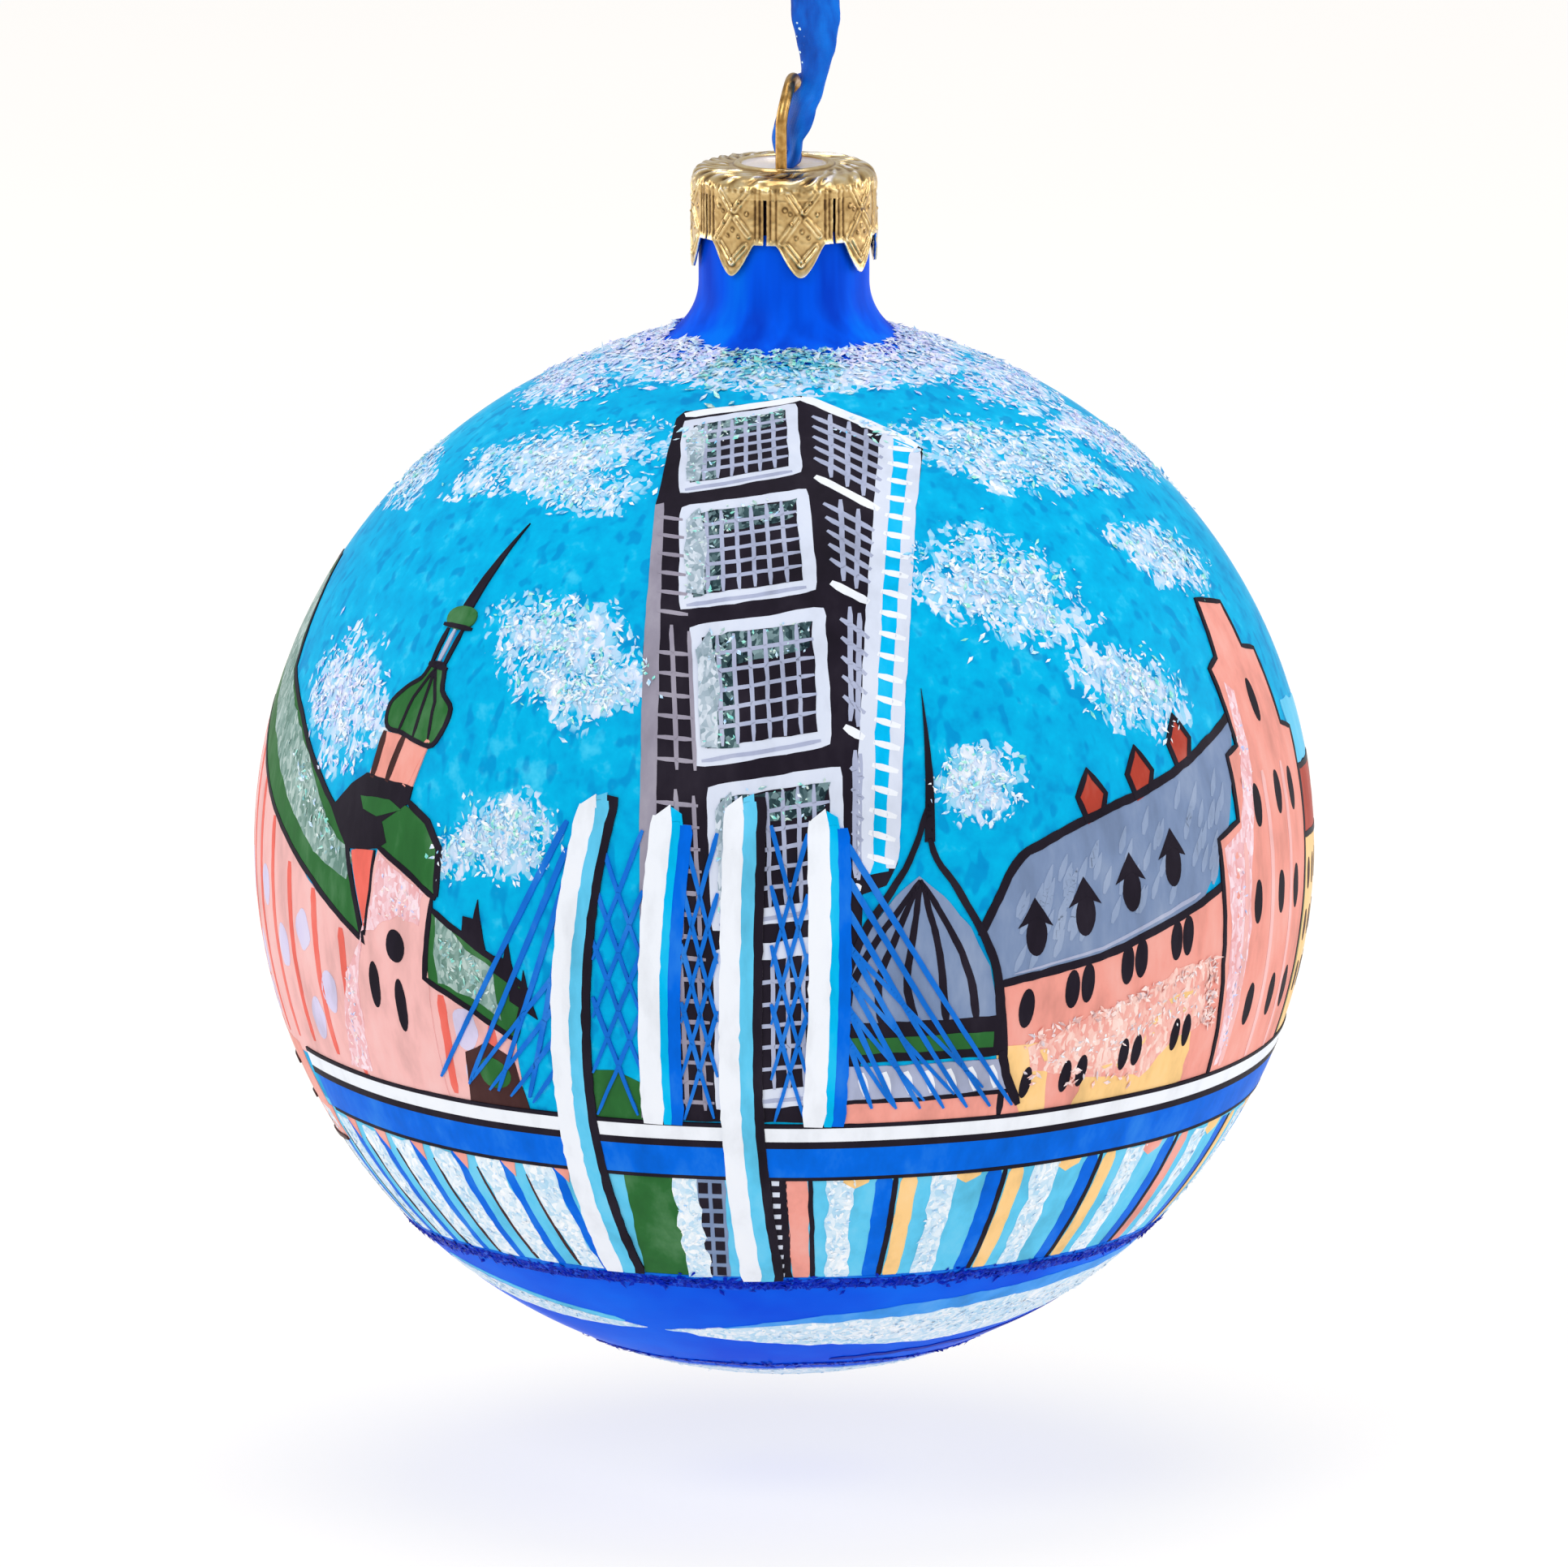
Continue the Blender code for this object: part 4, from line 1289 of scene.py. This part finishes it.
for s, h, tall in ((12.6, -0.6, 2.6), (16, -4, 2.6), (17.6, -6.6, 2.4)):
    fill("black", [(s - 1.2, h), (s - 1.1, h + 0.6 * tall), (s + 0.1, h + 0.55 * tall),
        (s + 0.6, h + tall + 0.8), (s + 0.9, h + 0.5 * tall), (s + 1.6, h - 1.6)], 5, 0.1)
# belfry, lantern and spire
fill("green", [(3.2, 10.4), (6, 9.4), (8.2, 7), (8.4, 2.4), (4.4, 4.6), (0.2, 6.2), (-4.4, 5.4), (-7.4, 9),
    (-2.8, 12.4), (0.6, 12)], 5)
fill("black", [(-2.9, 12.6), (3.9, 12.2), (3.6, 10.6), (0.4, 8.4), (1.4, 6.6), (0.2, 5.8), (-4.2, 5.2),
    (-7.4, 8.9), (-5, 11.2)], 6)
fill("green", [(-3.2, 10.4), (1, 10.6), (2.9, 9.9), (-0.4, 8.8), (-2.6, 9.2)], 7, 0.1)
draw("black", [(3.6, 10.8), (6.4, 9.2), (8.2, 7), (8.3, 2.4)], 0.7, 7)
draw("black", [(0.2, 6), (4.2, 4.4), (8.2, 2.2)], 0.6, 7)
fill("salmon", [(-1.7, 16.8), (4.8, 16.8), (3.7, 12.2), (-2.5, 12.4)], 5)
for s in (-1.6, 1.2, 4.5):
    draw("umber" if s < 4 else "salmon", [(s, 16.8), (0.76 * s - 0.8, 12.2)], 0.8, 6)
ONION = [(1.9, 24), (3.5, 23.8), (4.4, 21.6), (6.1, 20), (5.8, 17.6), (4.6, 16.2), (0.8, 17), (-1.5, 17.2),
    (-2, 19.3), (-0.4, 21.2), (1.2, 22.4)]
ONION = curved(ONION + ONION[:1], 4)[:-1]
fill("green", ONION, 6)
draw("black", ONION + ONION[:1], 0.45, 8)
for foot in (0.2, 2.4, 4.4):
    draw("black", [(2.6, 23.6), (0.5 * (foot + 2.6) + 0.2 * (foot - 2.4), 20.4), (foot, 16.8)], 0.35, 8)
draw("black", [(2, 27.6), (1.7, 23.8)], 0.5, 7)
draw("black", [(3.9, 27.6), (3.4, 23.8)], 0.5, 7)
draw("line_grey", [(3, 27.6), (2.6, 23.9)], 0.45, 7)
draw("black", [(1.4, 23.9), (4, 23.6)], 0.6, 8)
fill("green", oval(3.1, 28.8, 1.9, 1.25), 7)
draw("black", [(1.3, 27.9), (5, 27.9)], 0.5, 8)
fill("black", [(2.6, 30), (3.9, 30), (4.2, 33.4), (4.7, 39.6), (3.2, 33.4)], 8, 0.05)

# -- splintered paint on roofs and walls
patch(CHURCH_LON, "gel_sage", [(-33.4, 27), (-30.2, 27.4), (-28.2, 25.2), (-25.6, 18.4), (-18.8, 15),
    (-14.2, 12.6), (-8.4, 7.2), (-3.6, 4.6), (-4.2, 2.2), (-9, 3.4), (-15.6, 6.6), (-22, 10.4), (-29.4, 14.8),
    (-34.6, 20)], 3, 0.5)
patch(CHURCH_LON, "gel_sage", [(8, 0.2), (10.8, -1.2), (14.8, -3.6), (15.2, -8.6), (11.8, -7), (8.2, -5.6)], 3,
    0.5)
patch(CHURCH_LON, "gel_lilac", [(0.6, 5.2), (6.6, 2.6), (6.2, -0.6), (3.4, 0.2), (0, -2), (-2, -2.4),
    (-3.2, -9), (-3.8, -16.6), (-7.4, -16.6), (-5, -7), (-2.4, -3.4), (-0.6, 1)], 4, 0.5)
patch(HALL_LON, "gel_rose", [(-14.6, -10.6), (-9, -8.8), (-3, -7.2), (2, -5.4), (6.6, -5), (7.8, -11),
    (3, -12.6), (-0.6, -15.6), (-9, -14.6), (-14, -13.4)], 2.5, 0.8)
patch(GABLE_LON, "gel_lilac", [(-10.6, 5.2), (-7.2, 6.4), (-5.2, 12.8), (-3.6, 20), (-2.4, 19), (-3.8, 10),
    (-6, 2), (-6.4, -16.4), (-8.2, -16.8), (-9.4, -6)], 5.5, 0.4)

# -- trees and the pieces seen between the pylons
patch(-20, "green", [(-4.5, -17.8), (-4.2, -14.2), (-2, -12.8), (1, -12.6), (3.6, -14), (4.4, -17.8)], 1)
patch(-33, "umber", [(-4.6, -17.8), (-4, -12.4), (-1.4, -11), (1.4, -12.4), (2.2, -17.8)], 3)
patch(-33, "green", oval(-1, -14.2, 1.8, 1.6), 4, 0.3)

# -- bridge
band("white", deck(-18.1, -19.9), 8, -72, 268)
band("black", deck(-17.8, -18.2), 9, -72, 268)
band("black", deck(-19.7, -20.45), 9, -72, 268)
band("royal", deck(-20.2, -23.9), 8, -71, 268)
band("black", deck(-23.8, -24.2), 9, -70, 268)
PYLONS = (
    (-24.8, ((2.9, 12.6), (1.2, 0), (0, -18), (0.2, -37.6)), True),
    (-14, ((1.1, 12), (0.2, -2), (-0.2, -18)), False),
    (-5, ((0.2, 13), (-0.1, -4), (-0.2, -18), (0.8, -38)), True),
    (4.8, ((-0.3, 11.8), (-0.3, -4), (-0.6, -18)), False),
)
# The stripes to the right of a pylon's white one: colour, how far over, how far up, width
LONG_SIDES = (("black", 1.75, 1, 1.4), ("pale_blue", 0.85, 0.6, 1.5))
SHORT_SIDES = (("royal", 1.5, -0.7, 1.7), ("cyan", 0.75, -0.3, 0.9))
CABLE_DROP = 13

for lon, middle, long_leg in PYLONS:
    fill, draw = easel(lon)
    line = curved(middle, 6)
    for layer, (colour, reach, rise, width) in enumerate(LONG_SIDES if long_leg else SHORT_SIDES):
        draw(colour, [(s + reach, h + rise * (h > -10)) for s, h in line], width, 11 + layer, 0.75, 0.05)
    draw("white", [(s - 0.6, h) for s, h in line], 1.9 if long_leg else 2.1, 13, 0.85, 0.05)
    s, h = line[0]
    fill("white", [(s - 1.4, h - 0.2), (s - 1.2, h + 0.1), (s + 0.1, h + 1.1), (s + 0.3, h - 0.2)], 13, 0.05)
    fill("pale_blue" if long_leg else "cyan", [(s + 0.2, h + 0.9), (s + 1.2, h + (1.3 if long_leg else 0.3)),
        (s + 1.4, h - 0.8), (s + 0.2, h - 0.6)], 12, 0.05)


def cable(high, low, width):
    stroke(TOWER_LON, "cable", [high, low], width, 9, shake=0.04)


def cables(count, high, low, high_step, low_step, width):
    """A row of cables from the first one's ends and the steps from one to the next."""
    for k in range(count):
        ends = [(s + k * ds, h + k * dh) for (s, h), (ds, dh) in ((high, high_step), (low, low_step))]
        cable(*ends, width)


cables(5, (-20.8, 11), (-35, -15.4), (0, -2.6), (3.4, -0.3), (0.62, 0.42))
cables(4, (-20.6, -1.8), (-31.6, -15.6), (0, -3), (2.4, -0.4), (0.55, 0.35))
for left, right in ((-18.2, -13.3), (-9.6, -6.2), (-1.2, 2.2)):
    for k in range(4):
        high = 11.4 - 5.6 * k
        low = max(-17.2, high - CABLE_DROP)
        across = (right - left) * ((high - low) / CABLE_DROP)
        cable((left, high), (left + across, low), (0.48, 0.3))
        cable((right, high - 0.8), (right - across, low - 0.2), (0.48, 0.3))
cables(7, (5.6, 10), (22, -16.8), (0, -3), (-2.3, 0.1), (0.62, 0.42))
cables(4, (5.6, 0.6), (19, -14.6), (0, -3), (-2.9, -0.5), (0.5, 0.34))

# -- the far side: a row of plain gabled houses with trees between them
HOUSES_LON, HOUSE_TURN = 100, 18
for k, (colour, roof, wide, high) in enumerate((
    ("yellow", "brick", 8, 2),
    ("salmon", "slate", 9.5, 5.5),
    ("blush", "green", 7.5, 0.5),
    ("yellow", "slate", 9, 4),
    ("salmon", "brick", 8, 7.5),
    ("blush", "slate", 10, 2.5),
    ("yellow", "green", 8, 5),
    ("salmon", "slate", 9, 1.5),
)):
    fill, draw = easel(HOUSES_LON + HOUSE_TURN * k)
    half = 0.5 * wide
    fill(colour, [(-half, high), (half, high), (half, -17.8), (-half, -17.8)], 2 + k % 2)
    cap = [(-half - 0.5, high - 0.3), (-0.2 * half, high + 5.5), (0.2 * half, high + 5.5),
        (half + 0.5, high - 0.3)]
    fill(roof, cap, 4)
    draw("black", cap + cap[:1], 0.55, 6)
    draw("black", [(-half, high), (-half, -17.6)], INK, 6)
    draw("black", [(half, high), (half, -17.6)], INK, 6)
    fill("brick", [(0.3 * half, high + 4.6), (0.55 * half, high + 3.6), (0.55 * half, high + 7),
        (0.3 * half, high + 7)], 5)
    floors = [high - 3 - 4.6 * row for row in range(4)]
    panes = [(-0.56 * half + 0.56 * half * column, h) for h in floors if h > -16 for column in range(3)]
    windows(fill, panes, 0.62, 1.35, 5)
    patch(HOUSES_LON + HOUSE_TURN * (k + 0.5), "green", oval(0, -15.4, 3, 2.9), 7, 0.4)


# ---------------------------------------------------------------- glitter

FLAKES = {
    "white": (240, 247, 254),
    "lavender": (212, 212, 250),
    "ice": (196, 226, 248),
    "azure": (124, 206, 242),
    "mint": (140, 232, 214),
    "teal": (66, 176, 198),
    "rose": (250, 216, 212),
    "blossom": (244, 184, 172),
    "sage": (160, 196, 188),
    "navy": (0, 36, 176),
}
flakes = {}
# Kinds that are strewn together; one that is named twice comes twice as often
PANE_MIX = ("sage", "ice", "mint", "sage")
ROSE_MIX = ("rose", "lavender", "rose")
WALL_MIX = ("blossom", "rose", "blossom")
GABLE_MIX = ("rose", "rose", "lavender")
STRIPE_MIX = ("white", "white", "ice")
ICY_MIX = ("white", "ice", "white")
LIMB_MIX = ("lavender", "white", "ice", "lavender")
COLLAR_MIX = ("white", "lavender", "lavender", "ice")
COLLAR_FRONT_MIX = ("teal", "mint", "ice", "teal", "azure", "sage")
CLOUD_MIX = ("white", "white", "ice", "ice", "azure", "azure", "ice", "mint")
dice = random.Random(5)


def flake(kind, lon, s, h, size, lift=0.0):
    """One crystal: a lopsided octahedron that lies askew in the paint."""
    spot = np.array(on_ball(lon, s, h, 0.05 + lift + 0.14 * size + 0.06 * dice.random()))
    tilt = np.array([dice.gauss(0.0, 0.2) for _ in range(3)])
    normal = unit(unit(spot - np.array((0.0, 0.0, BALL_Z))) + tilt)
    first = unit(np.cross(normal, [dice.gauss(0.0, 1.0) for _ in range(3)]))
    second = np.cross(normal, first)
    reach = [size * MM * (0.6 + 0.9 * dice.random()) for _ in range(4)]
    thick = 0.16 * size * MM
    verts = [
        spot + first * reach[0] * 1.25,
        spot + second * reach[1] * 0.5,
        spot - first * reach[2] * 1.25,
        spot - second * reach[3] * 0.5,
        spot + normal * thick,
        spot - normal * thick,
    ]
    faces = [(a, (a + 1) % 4, 4) for a in range(4)] + [((a + 1) % 4, a, 5) for a in range(4)]
    keep(flakes, kind, [tuple(v) for v in verts], faces)


def strew(kinds, lon, quad, count, size):
    """Glitter scattered over a four-sided place."""
    for _ in range(count):
        s, h = in_quad(quad, dice.random(), dice.random())
        flake(dice.choice(kinds), lon, s, h, size * (0.6 + 0.8 * dice.random()))


banks = ([], [], [])


def bank(lon, h, half_s, half_h, tilt):
    """A thin ragged film of milky paint; its cover fades to nothing at the edge."""
    verts, faces, cover = banks
    c, d = math.cos(math.radians(tilt)), math.sin(math.radians(tilt))
    spokes, rings = 56, 12
    start = len(verts)
    for lift, dip in ((0.025, 0.055), (-0.05, 0.0)):
        for i in range(rings + 1):
            t = i / rings
            for k in range(spokes):
                angle = 2.0 * math.pi * k / spokes
                x, y = math.cos(angle), math.sin(angle)
                edge = 1.12 + 0.42 * noise.noise(Vector((1.7 * x + lon, 1.7 * y + h, 2.0)))
                edge += 0.2 * noise.noise(Vector((5.0 * x + h, 5.0 * y + lon, 2.0)))
                s, rise = half_s * x * t * edge, half_h * y * t * edge
                verts.append(on_ball(lon, s * c - rise * d, h + s * d + rise * c, lift - dip * t**8))
                cover.append(1.0 - t**2.2)
    side = (rings + 1) * spokes
    for i in range(rings):
        for k in range(spokes):
            a, b = start + i * spokes + k, start + i * spokes + (k + 1) % spokes
            faces.append((a, a + spokes, b + spokes, b))
            faces.append((side + b, side + b + spokes, side + a + spokes, side + a))
    for k in range(spokes):
        a, b = start + rings * spokes + k, start + rings * spokes + (k + 1) % spokes
        faces.append((a, side + a, side + b, b))


def cloud(lon, h, half_s, half_h, tilt, count, kinds=CLOUD_MIX):
    """A bank of milky paint with glitter in it."""
    bank(lon, h, half_s, half_h, tilt)
    c, d = math.cos(math.radians(tilt)), math.sin(math.radians(tilt))
    made = 0
    while made < 1.1 * count:
        x, y = dice.gauss(0.0, 0.52), dice.gauss(0.0, 0.52)
        edge = 1.0 + 0.7 * noise.noise(Vector((2.2 * x + lon, 2.2 * y + h, 4.0)))
        if math.hypot(x, y) > edge or noise.noise(Vector((4.5 * x + h, 4.5 * y, lon))) < -0.3:
            continue
        s, rise = half_s * x, half_h * y
        s, rise = s * c - rise * d, s * d + rise * c
        flake(dice.choice(kinds), lon, s, h + rise, dice.uniform(0.15, 0.4))
        made += 1


for spec in (
    (-46, 47.6, 14.0, 5.2, 20, 420),
    (-36, 44.4, 7.0, 3.2, 0, 160),
    (-29, 26.6, 9.0, 6.2, -30, 420),
    (-22, 24.0, 6.0, 3.4, 10, 120),
    (-62, 18.8, 8.4, 6.6, -30, 380, ("lavender", "lavender", "white", "ice")),
    (-32, 9.2, 6.4, 3.8, 8, 260),
    (-38, 6.4, 4.0, 2.2, 20, 60),
    (45, 48.4, 13.0, 5.4, -20, 460),
    (60, 44.5, 7.0, 2.8, -30, 120),
    (66, 33.0, 7.5, 4.0, -20, 200),
    (31, 33.4, 9.4, 6.4, -24, 460),
    (46, 21.6, 7.4, 4.6, -20, 240),
    (22, 14.8, 5.2, 4.0, 0, 190),
    (-84, 57.0, 12.0, 5.0, 0, 300, LIMB_MIX),
    (84, 56.0, 12.0, 5.5, 0, 340, LIMB_MIX),
    (83, 45.5, 8.0, 5.0, -40, 260, LIMB_MIX),
    (108, 40.0, 11.0, 4.6, 8, 340),
    (132, 27.0, 10.0, 5.0, -10, 360),
    (165, 44.0, 11.0, 4.4, 10, 380),
    (-170, 24.0, 9.0, 4.8, 8, 320),
    (-142, 41.0, 11.0, 4.8, -12, 380),
    (-115, 24.0, 9.0, 5.0, 12, 340),
    (-88, 40.0, 8.0, 4.0, -8, 240),
):
    cloud(*spec)
for k in range(12):
    bank(30.0 * k + 5.0, 62.2 + 0.7 * (k % 2), 9.0, 3.2, 0.0)


def flare_lift(h):
    """How far the flare of the neck stands above the ball's round at a height."""
    r = BALL_MM * math.cos(h / BALL_MM)
    across = FLARE_MIDDLE_R - r
    if r > FLARE_MIDDLE_R * BALL_MM / (BALL_MM + FLARE_R):
        return 0.0
    return FLARE_MIDDLE_H - math.sqrt(FLARE_R**2 - across**2) - BALL_MM * math.sin(h / BALL_MM)


for _ in range(2900):
    turn = dice.uniform(-180.0, 180.0)
    spin = math.radians(turn)
    h = 67.9 - abs(dice.gauss(0.0, 3.2)) + 0.9 * noise.noise(Vector((2.0 * math.cos(spin), 2.0 * math.sin(spin),
        0.0)))
    kinds = COLLAR_FRONT_MIX if abs(turn + 4.0) < 26.0 else COLLAR_MIX
    flake(dice.choice(kinds), turn, 0.0, h, dice.uniform(0.24, 0.6), flare_lift(h))
for quad in FRONTS[:4]:
    for inset in ((0.1, 0.06, 0.9, 0.32), (0.06, 0.1, 0.3, 0.9)):
        strew(PANE_MIX, TOWER_LON, inner_quad(quad, *inset), 50, 0.22)
for kinds, lon, count, size, quad in (
    (("sage", "ice", "sage", "mint"), CHURCH_LON, 90, 0.28, ((-20.5, 13.0), (-14.6, 12.4), (-5.2, 4.6),
        (-8.4, 4.0))),
    (("mint", "sage", "sage"), CHURCH_LON, 60, 0.26, ((8.6, -0.8), (12.6, -2.6), (14.6, -7.4), (8.8, -4.8))),
    (ROSE_MIX, CHURCH_LON, 40, 0.22, ((0.8, 4.4), (6.0, 2.0), (5.8, -0.4), (0.6, -1.2))),
    (ROSE_MIX, CHURCH_LON, 40, 0.22, ((-5.0, -6.0), (-3.6, -6.0), (-4.4, -16.0), (-6.4, -16.0))),
    (("rose", "white", "rose"), HALL_LON, 110, 0.22, ((-13.4, -11.4), (6.0, -7.0), (6.6, -10.6),
        (-12.0, -13.4))),
    (WALL_MIX, HALL_LON, 90, 0.36, ((-15.4, -9.8), (7.6, -4.4), (7.6, -5.6), (-15.2, -11.4))),
    (WALL_MIX, HALL_LON, 24, 0.36, ((-15.0, -13.0), (-0.6, -15.0), (-0.8, -16.6), (-14.8, -14.8))),
    (WALL_MIX, HALL_LON, 70, 0.36, ((6.8, -5.0), (8.4, -5.0), (9.0, -12.0), (7.0, -11.6))),
    (GABLE_MIX, GABLE_LON, 60, 0.24, ((-9.2, 5.0), (-6.6, 5.0), (-6.6, -16.0), (-7.8, -16.0))),
    (GABLE_MIX, GABLE_LON, 30, 0.24, ((-4.4, 17.0), (-3.2, 17.0), (-3.6, 10.0), (-6.4, 9.0))),
):
    strew(kinds, lon, quad, count, size)
for k in range(1, STRIPES + 1):
    strew(STRIPE_MIX, STRIPE_TURN * k, ((3.2, -24.4), (5.4, -24.4), (4.7, -37.4), (3.1, -37.4)), 34, 0.26)
strew(STRIPE_MIX, TOWER_LON, ((4.2, -24.4), (6.3, -24.4), (5.6, -37.6), (4.1, -37.6)), 34, 0.26)
strew(STRIPE_MIX, TOWER_LON, ((-10.4, -24.2), (-8.4, -24.2), (-6.8, -37.4), (-8.8, -37.4)), 40, 0.26)
for k in range(LEFT_STRIPES):
    lon = LEFT_STRIPE_LON - LEFT_STRIPE_TURN * k
    strew(ICY_MIX, lon, ((-1.2, -24.4), (0.9, -24.4), (1.9, -37.2), (0.3, -37.2)), 34, 0.22)
for count, h, small, large in ((1900, -38.7, 0.2, 0.42), (420, -59.0, 0.18, 0.36)):
    for _ in range(count):
        flake("navy", dice.uniform(-180.0, 180.0), 0.0, h + dice.gauss(0.0, 0.5), dice.uniform(small, large))
for _ in range(420):
    kind = dice.choice(("white", "ice"))
    flake(kind, dice.uniform(-180.0, 180.0), 0.0, -63.6 + dice.gauss(0.0, 1.2), dice.uniform(0.16, 0.3))
strew(ICY_MIX, BOTTOM_LON, ((-16.0, -47.8), (26.0, -43.4), (24.0, -47.6), (-10.0, -51.2)), 240, 0.24)
strew(ICY_MIX, SWATH_LON, ((-9.0, -43.2), (6.0, -47.4), (6.0, -49.0), (-9.0, -45.8)), 80, 0.24)


def brushed(name, colour):
    """Opaque paint with brush streaks, thin and thick places and a soft sheen."""
    look = Look("paint_" + name, Roughness=0.46, **LACQUER)
    streak = look.noise(330.0, 4.0, 0.6, (1.0, 1.0, 0.35))
    body = look.noise(120.0)
    tone = streak * 0.65 + body * 0.35
    deeper = [(0.94 if name in ("white", "frame") else 0.88) * c for c in colour]
    lighter = [min(255, c + 0.16 * (255 - c)) for c in colour]
    if name in ("black", "umber"):
        deeper, lighter = [0.8 * c for c in colour], [c + 10 for c in colour]
    look.set(Base_Color=look.ramp(tone, (0.32, deeper), (0.5, colour), (0.68, lighter)))
    look.bump(tone, 0.04, 0.5)
    return look.material


def splinters(look, scale):
    """Overlapping splinters: two random shares for each, and the way to its edge."""
    warp = look.node("TexNoise", "Color", {"Vector": look.place, "Scale": 500.0, "Detail": 2.0})
    warp = look.node("VectorMath", 0, {0: warp, 1: (0.5, 0.5, 0.5)}, operation="SUBTRACT")
    warp = look.node("VectorMath", 0, {0: warp, "Scale": 1.6 * MM}, operation="SCALE")
    place = look.node("VectorMath", 0, {0: look.place, 1: warp}, operation="ADD")
    askew = {"Vector": place, "Rotation": (0.5, 0.3, 0.6), "Scale": (1.0, 1.0, 0.4)}
    cells = {"Vector": look.node("Mapping", 0, askew), "Scale": scale}
    colour, edge = look.node("TexVoronoi", ("Color", "Distance"), cells)
    share, other = look.node("SeparateColor", (0, 1), {"Color": colour})
    return share, other, edge


def gel(name, tones):
    """Clear paint full of glitter splinters."""
    look = Look("paint_" + name, Roughness=0.38, **LACQUER)
    share, other, edge = splinters(look, 2600.0)
    tone = share * 0.5 + look.noise(240.0, 3.0) * 0.6
    look.set(Base_Color=look.ramp(tone, *zip((0.3, 0.56, 0.82), tones)))
    look.bump(edge * -1.0 + other * 0.8, 0.1, 0.6)
    return look.material


def milky():
    """Milky paint with splinters in it, which lets the sky through where its cover is thin."""
    look = Look("paint_cloud", Roughness=0.42, **LACQUER)
    cover = look.node("Attribute", "Fac", attribute_name="cover")
    sky = sky_colour(look)[0]
    share, other, edge = splinters(look, 2000.0)
    wisps = look.noise(170.0, 3.0, 0.6)
    tone = share * 0.55 + wisps * 0.6 + cover * 0.14
    blue = ((0.32, (92, 200, 238)), (0.5, (146, 212, 242)), (0.66, (188, 220, 246)))
    paint = look.ramp(tone, *blue, (0.84, (220, 230, 251)), (1.0, (250, 252, 255)))
    amount = cover + (wisps - 0.55) * 2.0 + (other - 0.5) * 0.9
    amount = look.ramp(amount, (0.34, 0.0), (0.47, 0.94))
    look.set(Base_Color=look.mix(amount, sky, paint))
    look.bump((edge * -1.0 + share * 0.8) * amount, 0.12, 0.6)
    return look.material


def crystal(name, colour):
    dark = name == "navy"
    look = Look("glitter_" + name, Roughness=0.3, Specular_IOR_Level=0.02 if dark else 0.4)
    cells = look.node("TexVoronoi", "Color", {"Vector": look.place, "Scale": 2400.0})
    painted_glint = look.node("SeparateColor", 0, {"Color": cells})
    # Random cells of each crystal are painted lighter as glints and darker and bluer as shade.
    lighter = [min(255, c + (0.1 if dark else 0.6) * (255 - c)) for c in colour]
    deeper = (0.84 * colour[0], 0.93 * colour[1], colour[2])
    look.set(Base_Color=look.ramp(painted_glint, (0.1, deeper), (0.5, colour), (0.9, lighter)))
    look.bump(look.noise(3000.0), 0.02, 0.4)
    return look.material


for colour, (verts, faces) in sheets.items():
    paint = gel(colour, GELS[colour]) if colour in GELS else brushed(colour, PAINTS[colour])
    add_piece("paint_" + colour, verts, faces, paint, "ball", False)
clouds = add_piece("paint_cloud", banks[0], banks[1], milky(), "ball")
point_values(clouds, "cover", banks[2])
for kind, (verts, faces) in flakes.items():
    add_piece("glitter_" + kind, verts, faces, crystal(kind, FLAKES[kind]), "ball", False)
